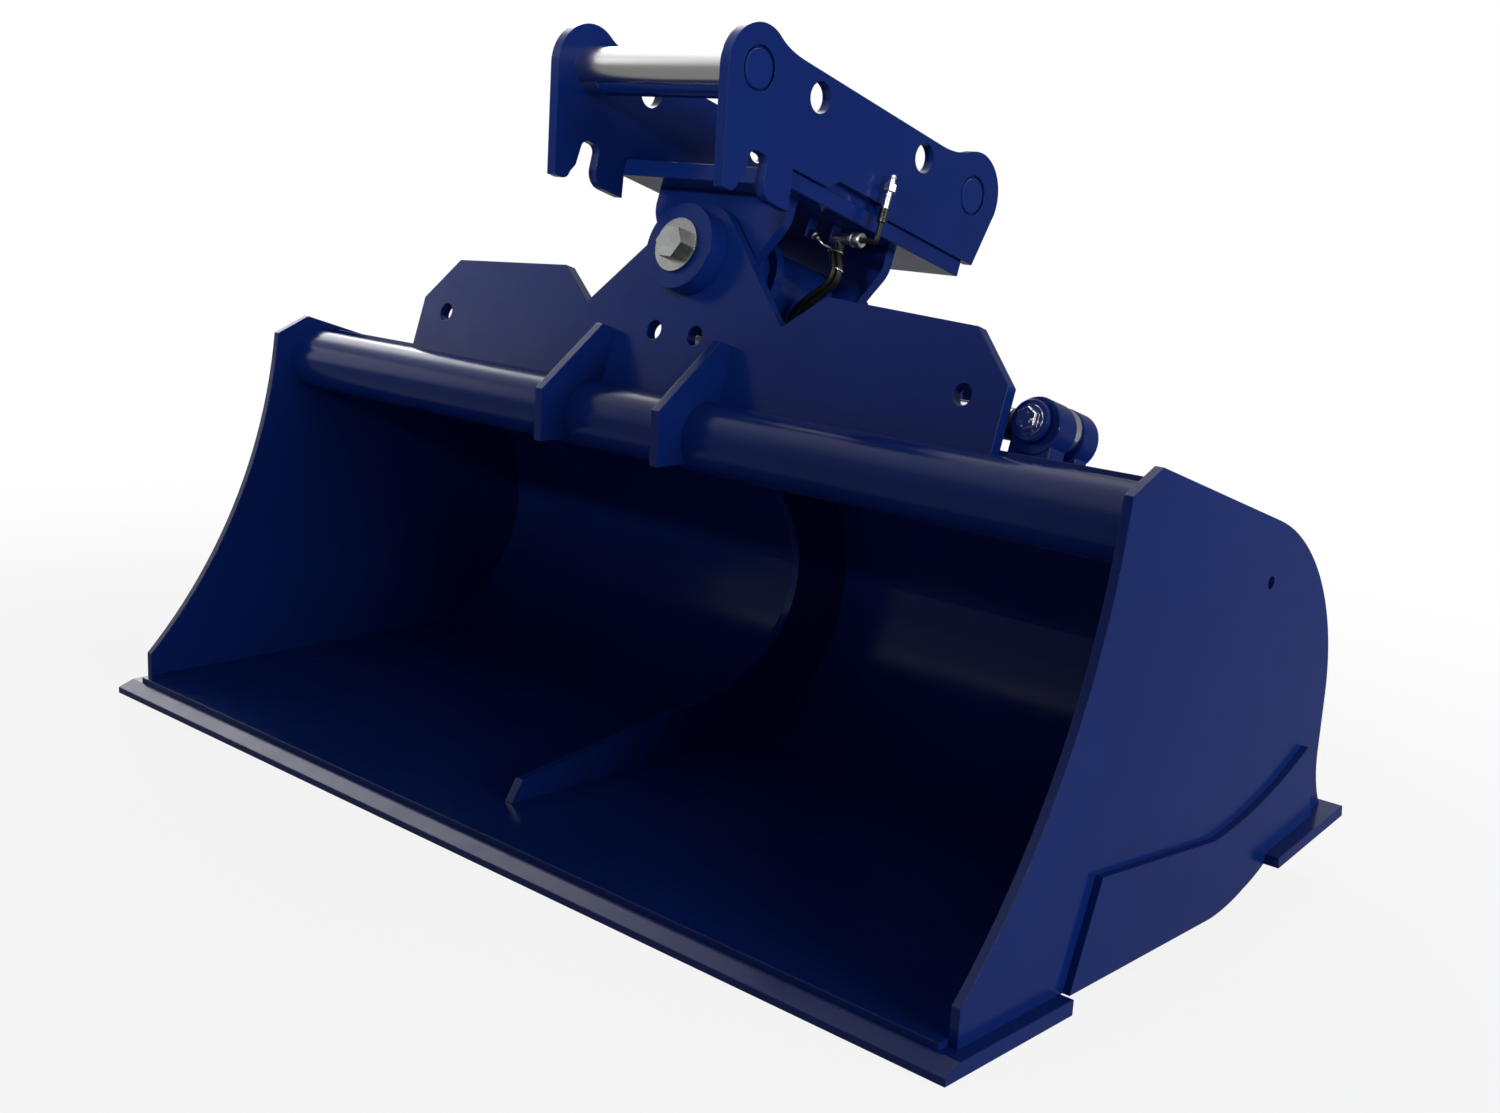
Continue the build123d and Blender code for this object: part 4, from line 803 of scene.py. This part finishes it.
def cheek_outline():
    """Outline of a cheek plate in (s, h), from the front leg over the bosses and back."""
    front_boss = arc(FRONT_PIN_S, PIN_H, BOSS_RADIUS, 198.5, 63, 24)
    rear_boss = arc(*REAR_BOSS, REAR_BOSS_RADIUS, 117, -9, 24)
    outline = front_boss
    outline += eased(front_boss[-1], (-0.0811, CHEEK_TOP_H), (-0.050, CHEEK_TOP_H))[1:]
    outline += eased((0.225, CHEEK_TOP_H), (0.2586, CHEEK_TOP_H), rear_boss[0])
    outline += rear_boss[1:]
    outline += [(0.345, BASE_TOP_H), (ARCH_REAR_S, BASE_TOP_H), (0.140, ARCH_H), (0.056, ARCH_H)]
    outline += [(ARCH_FRONT_S, BASE_TOP_H), (-0.028, BASE_TOP_H), (-0.017, 0.0545)]
    outline += arc(*HOOK_CENTRE, HOOK_RADIUS, 270, 180, 10)
    outline += arc(NOTCH_REAR_S, NOTCH_H, NOTCH_RADIUS, 0, 90, 8)
    outline += arc(NOTCH_FRONT_S, NOTCH_H, NOTCH_RADIUS, 90, 180, 8)
    outline += [(-0.1020, 0.068)]
    outline += arc(TOE_CENTRE_S, LEG_LOW_H + TOE_RADIUS, TOE_RADIUS, 0, -90, 8)
    outline += [(TOE_S, LEG_LOW_H)]
    return outline


def add_cheek(name, node, side):
    """Cheek plate with its lifting holes and the ring grooves round the pins' ends."""
    outer = side * CHEEK_OUTER
    inner = side * CHEEK_INNER
    floor = side * (CHEEK_OUTER - PIN_RING_DEPTH)
    mesh_builder = bmesh.new()

    def loop(points, x):
        return [mesh_builder.verts.new(leaning(x, s, h)) for s, h in points]

    def wall(first, second):
        for index in range(len(first)):
            mesh_builder.faces.new((first[index - 1], first[index], second[index], second[index - 1]))

    def face(loops):
        edges = []
        for ring in loops:
            edges += [mesh_builder.edges.get((ring[index - 1], ring[index])) for index in range(len(ring))]
        bmesh.ops.triangle_fill(mesh_builder, edges=edges, use_beauty=True)

    outline = cheek_outline()
    outer_loops, inner_loops = [loop(outline, outer)], [loop(outline, inner)]
    wall(outer_loops[0], inner_loops[0])
    for s, h in LIFT_HOLES:
        circle = arc(s, h, LIFT_HOLE_RADIUS, 0, 360, 48)[:-1]
        outer_loops.append(loop(circle, outer))
        inner_loops.append(loop(circle, inner))
        wall(outer_loops[-1], inner_loops[-1])
    for s in (FRONT_PIN_S, REAR_PIN_S):
        wide = arc(s, PIN_H, PIN_RING, 0, 360, 56)[:-1]
        narrow = arc(s, PIN_H, PIN_BORE, 0, 360, 56)[:-1]
        loops = [loop(wide, outer), loop(wide, floor), loop(narrow, floor), loop(narrow, inner)]
        outer_loops.append(loops[0])
        inner_loops.append(loops[-1])
        for first, second in zip(loops, loops[1:]):
            wall(first, second)
    face(outer_loops)
    face(inner_loops)
    mesh = finished_mesh(mesh_builder, name)
    cheek = add_piece(name, mesh, paint)
    mesh.set_sharp_from_angle(angle=SHARP_ANGLE)
    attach(cheek, "hitch")
    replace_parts(cheek, node)


def add_base_plate():
    """Base plate set in under the cheeks, so that their lower edges stand out from it."""
    low = (-BASE_REACH, BASE_FRONT_S, BASE_LOW_H)
    high = (BASE_REACH, BASE_REAR_S, BASE_TOP_H - BASE_GAP)
    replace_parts(add_blocks("base_plate", [(low, high)], "hitch"), "hitch_base_plate")


def add_arch_stay():
    """Bars on the base plate behind the raised arches of the cheeks, and a screwed plug in the near one."""
    boxes = []
    for inner, outer in ((STAY_INNER, STAY_OUTER), (-STAY_OUTER, -STAY_INNER)):
        low = (inner, ARCH_FRONT_S - STAY_PAST_ARCH, BASE_TOP_H - STAY_SINK)
        high = (outer, ARCH_REAR_S + STAY_PAST_ARCH, BASE_TOP_H + STAY_RISE)
        boxes.append((low, high))
    add_blocks("arch_stay", boxes, "hitch")
    start = leaning(*PLUG_PLACE)
    shells = [
        (start, ACROSS, HEXAGON, [(0, 0.0046), (0.0035, 0.0046), (0.0045, 0.0038)]),
        (start, ACROSS, ROUND, [(0.004, 0.0024), (0.0065, 0.0024), (0.0072, 0.0018)]),
    ]
    add_turned("arch_plug", shells, zinc, "bright_steel", "hitch")


# Coupling outside the near cheek


def add_coupling():
    """Short hose, black ferrule and the male coupling that stands outside the near cheek."""
    bends = [
        (NUT_END - 0.002, SLEEVE_S, SLEEVE_H),
        (0.146, SLEEVE_S, SLEEVE_H),
        (0.157, SLEEVE_S, SLEEVE_H),
        (COUPLING_X, SLEEVE_S, 0.073),
        (COUPLING_X, SLEEVE_S, 0.082),
        (COUPLING_X, SLEEVE_S, FERRULE_LOW + 0.001),
    ]
    line = route_line([leaning(*point) for point in bends])
    elbow = add_piece("short_hose", tube_mesh("short_hose", line, ELBOW_RADIUS), rubber)
    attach(elbow, "hitch")
    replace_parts(elbow, "hose_elbow")
    start = leaning(COUPLING_X, SLEEVE_S, FERRULE_LOW)
    crimp = [(0, 0.0050), (0.001, FERRULE_RADIUS)]
    for ring in range(FERRULE_GROOVES):
        low = 0.003 + ring * GROOVE_STEP
        crimp += [(low, FERRULE_RADIUS), (low + 0.0006, FERRULE_GROOVE)]
        crimp += [(low + 0.0018, FERRULE_GROOVE), (low + 0.0024, FERRULE_RADIUS)]
    crimp += [(0.0172, FERRULE_RADIUS), (0.018, 0.0050)]
    shells = [(start, UP, ROUND, crimp)]
    add_turned("black_ferrule", shells, dark_steel, "black_steel", "hitch", "coupling_ferrule")
    nipple = [(0.0478, 0.0044), (0.052, 0.0044), (0.0525, 0.0036), (0.0545, 0.0036), (0.055, 0.0044)]
    shells = [
        (start, UP, ROUND, [(0.0178, 0.0040), (0.038, 0.0040), (0.0385, 0.0048), (0.0392, 0.0048)]),
        (start, UP, HEXAGON, [(0.0382, 0.0068), (0.0392, 0.0079), (0.0472, 0.0079), (0.0482, 0.0068)]),
        (start, UP, ROUND, nipple + [(0.0575, 0.0042), (0.059, 0.0030)]),
    ]
    add_turned("male_coupling", shells, zinc, "bright_steel", "hitch", "hose_coupling")


# Rod end of the cylinder, with its pin and bracket

ROD_PIN_X, ROD_PIN_H = 0.505, -0.1285
PIN_FRONT_S, PIN_REAR_S = 0.0226, 0.1274
ROD_START_X = 0.190
EYE_S = 0.077
EAR_DROP = 0.003
EAR_EDGE, EAR_RADIUS, EAR_CHAMFER = 0.0298, 0.0308, 0.0010
EARS = (("front", 0.0346, 0.0676), ("rear", 0.0864, 0.1134))
DECK_H = -0.1653
FOOT_SINK = 0.0002
FOOT_INSET, FOOT_TOP_DROP = 0.002, 0.006
FOOT_INNER, FOOT_OUTER = 0.026, 0.024


def add_rod_pin():
    """Rod pin with its painted cap, and the bolt that holds the cap."""
    length = PIN_REAR_S - PIN_FRONT_S
    start = leaning(ROD_PIN_X, 0, ROD_PIN_H) + ALONG * PIN_FRONT_S
    shells = [
        (start, ALONG, ROUND, [(0, 0.0212), (0.0013, 0.0225), (0.0045, 0.0225), (0.005, 0.0220)]),
        (start, ALONG, ROUND, [(0.0048, 0.0140), (length - 0.001, 0.0140), (length, 0.0130)]),
    ]
    add_turned("capped_rod_pin", shells, paint, "blue_paint", "root", "rod_pin")
    shells = [
        (start - ALONG * 0.0085, ALONG, HEXAGON, [(0, 0.0118), (0.0012, 0.0131), (0.0087, 0.0131)]),
        (start - ALONG * 0.0015, ALONG, ROUND, [(0, 0.0160), (0.0005, 0.0165), (0.0017, 0.0165)]),
    ]
    # The bolt head's front face carries a painted reflection of the blue parts round it
    add_turned("rod_pin_bolt", shells, bolt_reflection_finish, "bright_steel", "root")


def add_rod_end():
    """Chromed rod with its turned eye between the bracket's ears, and its forged shank."""
    middle = leaning(ROD_PIN_X, EYE_S, ROD_PIN_H)
    rod_start = leaning(ROD_START_X, EYE_S, ROD_PIN_H)
    rod = [(0, 0.0165), (0.001, 0.0175), (0.262, 0.0175)]
    shank = [(0.262, 0.0175), (0.270, 0.0200), (0.276, 0.0212), (0.288, 0.0212), (0.2895, 0.0200)]
    eye = [(-0.0089, 0.0258), (-0.0080, 0.0268), (0.0080, 0.0268), (0.0089, 0.0258)]
    shells = [(rod_start, ACROSS, ROUND, rod), (middle, ALONG, ROUND, eye)]
    add_turned("turned_rod", shells, chrome, "chrome", "root", "cylinder_rod")
    add_turned("forged_shank", [(rod_start, ACROSS, ROUND, shank)], forged, "chrome", "root")


def add_bracket_ears():
    """Round ears of the rod pin, on narrow feet."""
    for name, start_s, end_s in EARS:
        middle = leaning(ROD_PIN_X, start_s, ROD_PIN_H - EAR_DROP)
        deep = end_s - start_s
        edges = [(0, EAR_EDGE), (EAR_CHAMFER, EAR_RADIUS), (deep - EAR_CHAMFER, EAR_RADIUS), (deep, EAR_EDGE)]
        ear = add_turned(name + "_ear", [(middle, ALONG, ROUND, edges)], paint, "blue_paint", "root")
        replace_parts(ear, "rod_bracket_" + name)
        low = (ROD_PIN_X - FOOT_INNER, start_s + FOOT_INSET, DECK_H - FOOT_SINK)
        high = (ROD_PIN_X + FOOT_OUTER, end_s - FOOT_INSET, ROD_PIN_H - FOOT_TOP_DROP)
        add_blocks(name + "_ear_foot", [(low, high)], "root")


add_camera()
add_world()
add_floor()
for lamp in LAMPS:
    add_lamp(*lamp)
dress_nodes()
add_hoses()
add_union()
add_second_union()
add_wire_clamps()
add_union_straps()
add_cheek("near_cheek", "hitch_cheek_right", 1)
add_cheek("far_cheek", "hitch_cheek_left", -1)
add_base_plate()
add_arch_stay()
add_coupling()
add_rod_pin()
add_rod_end()
add_bracket_ears()

bpy.context.scene.view_settings.view_transform = "Standard"
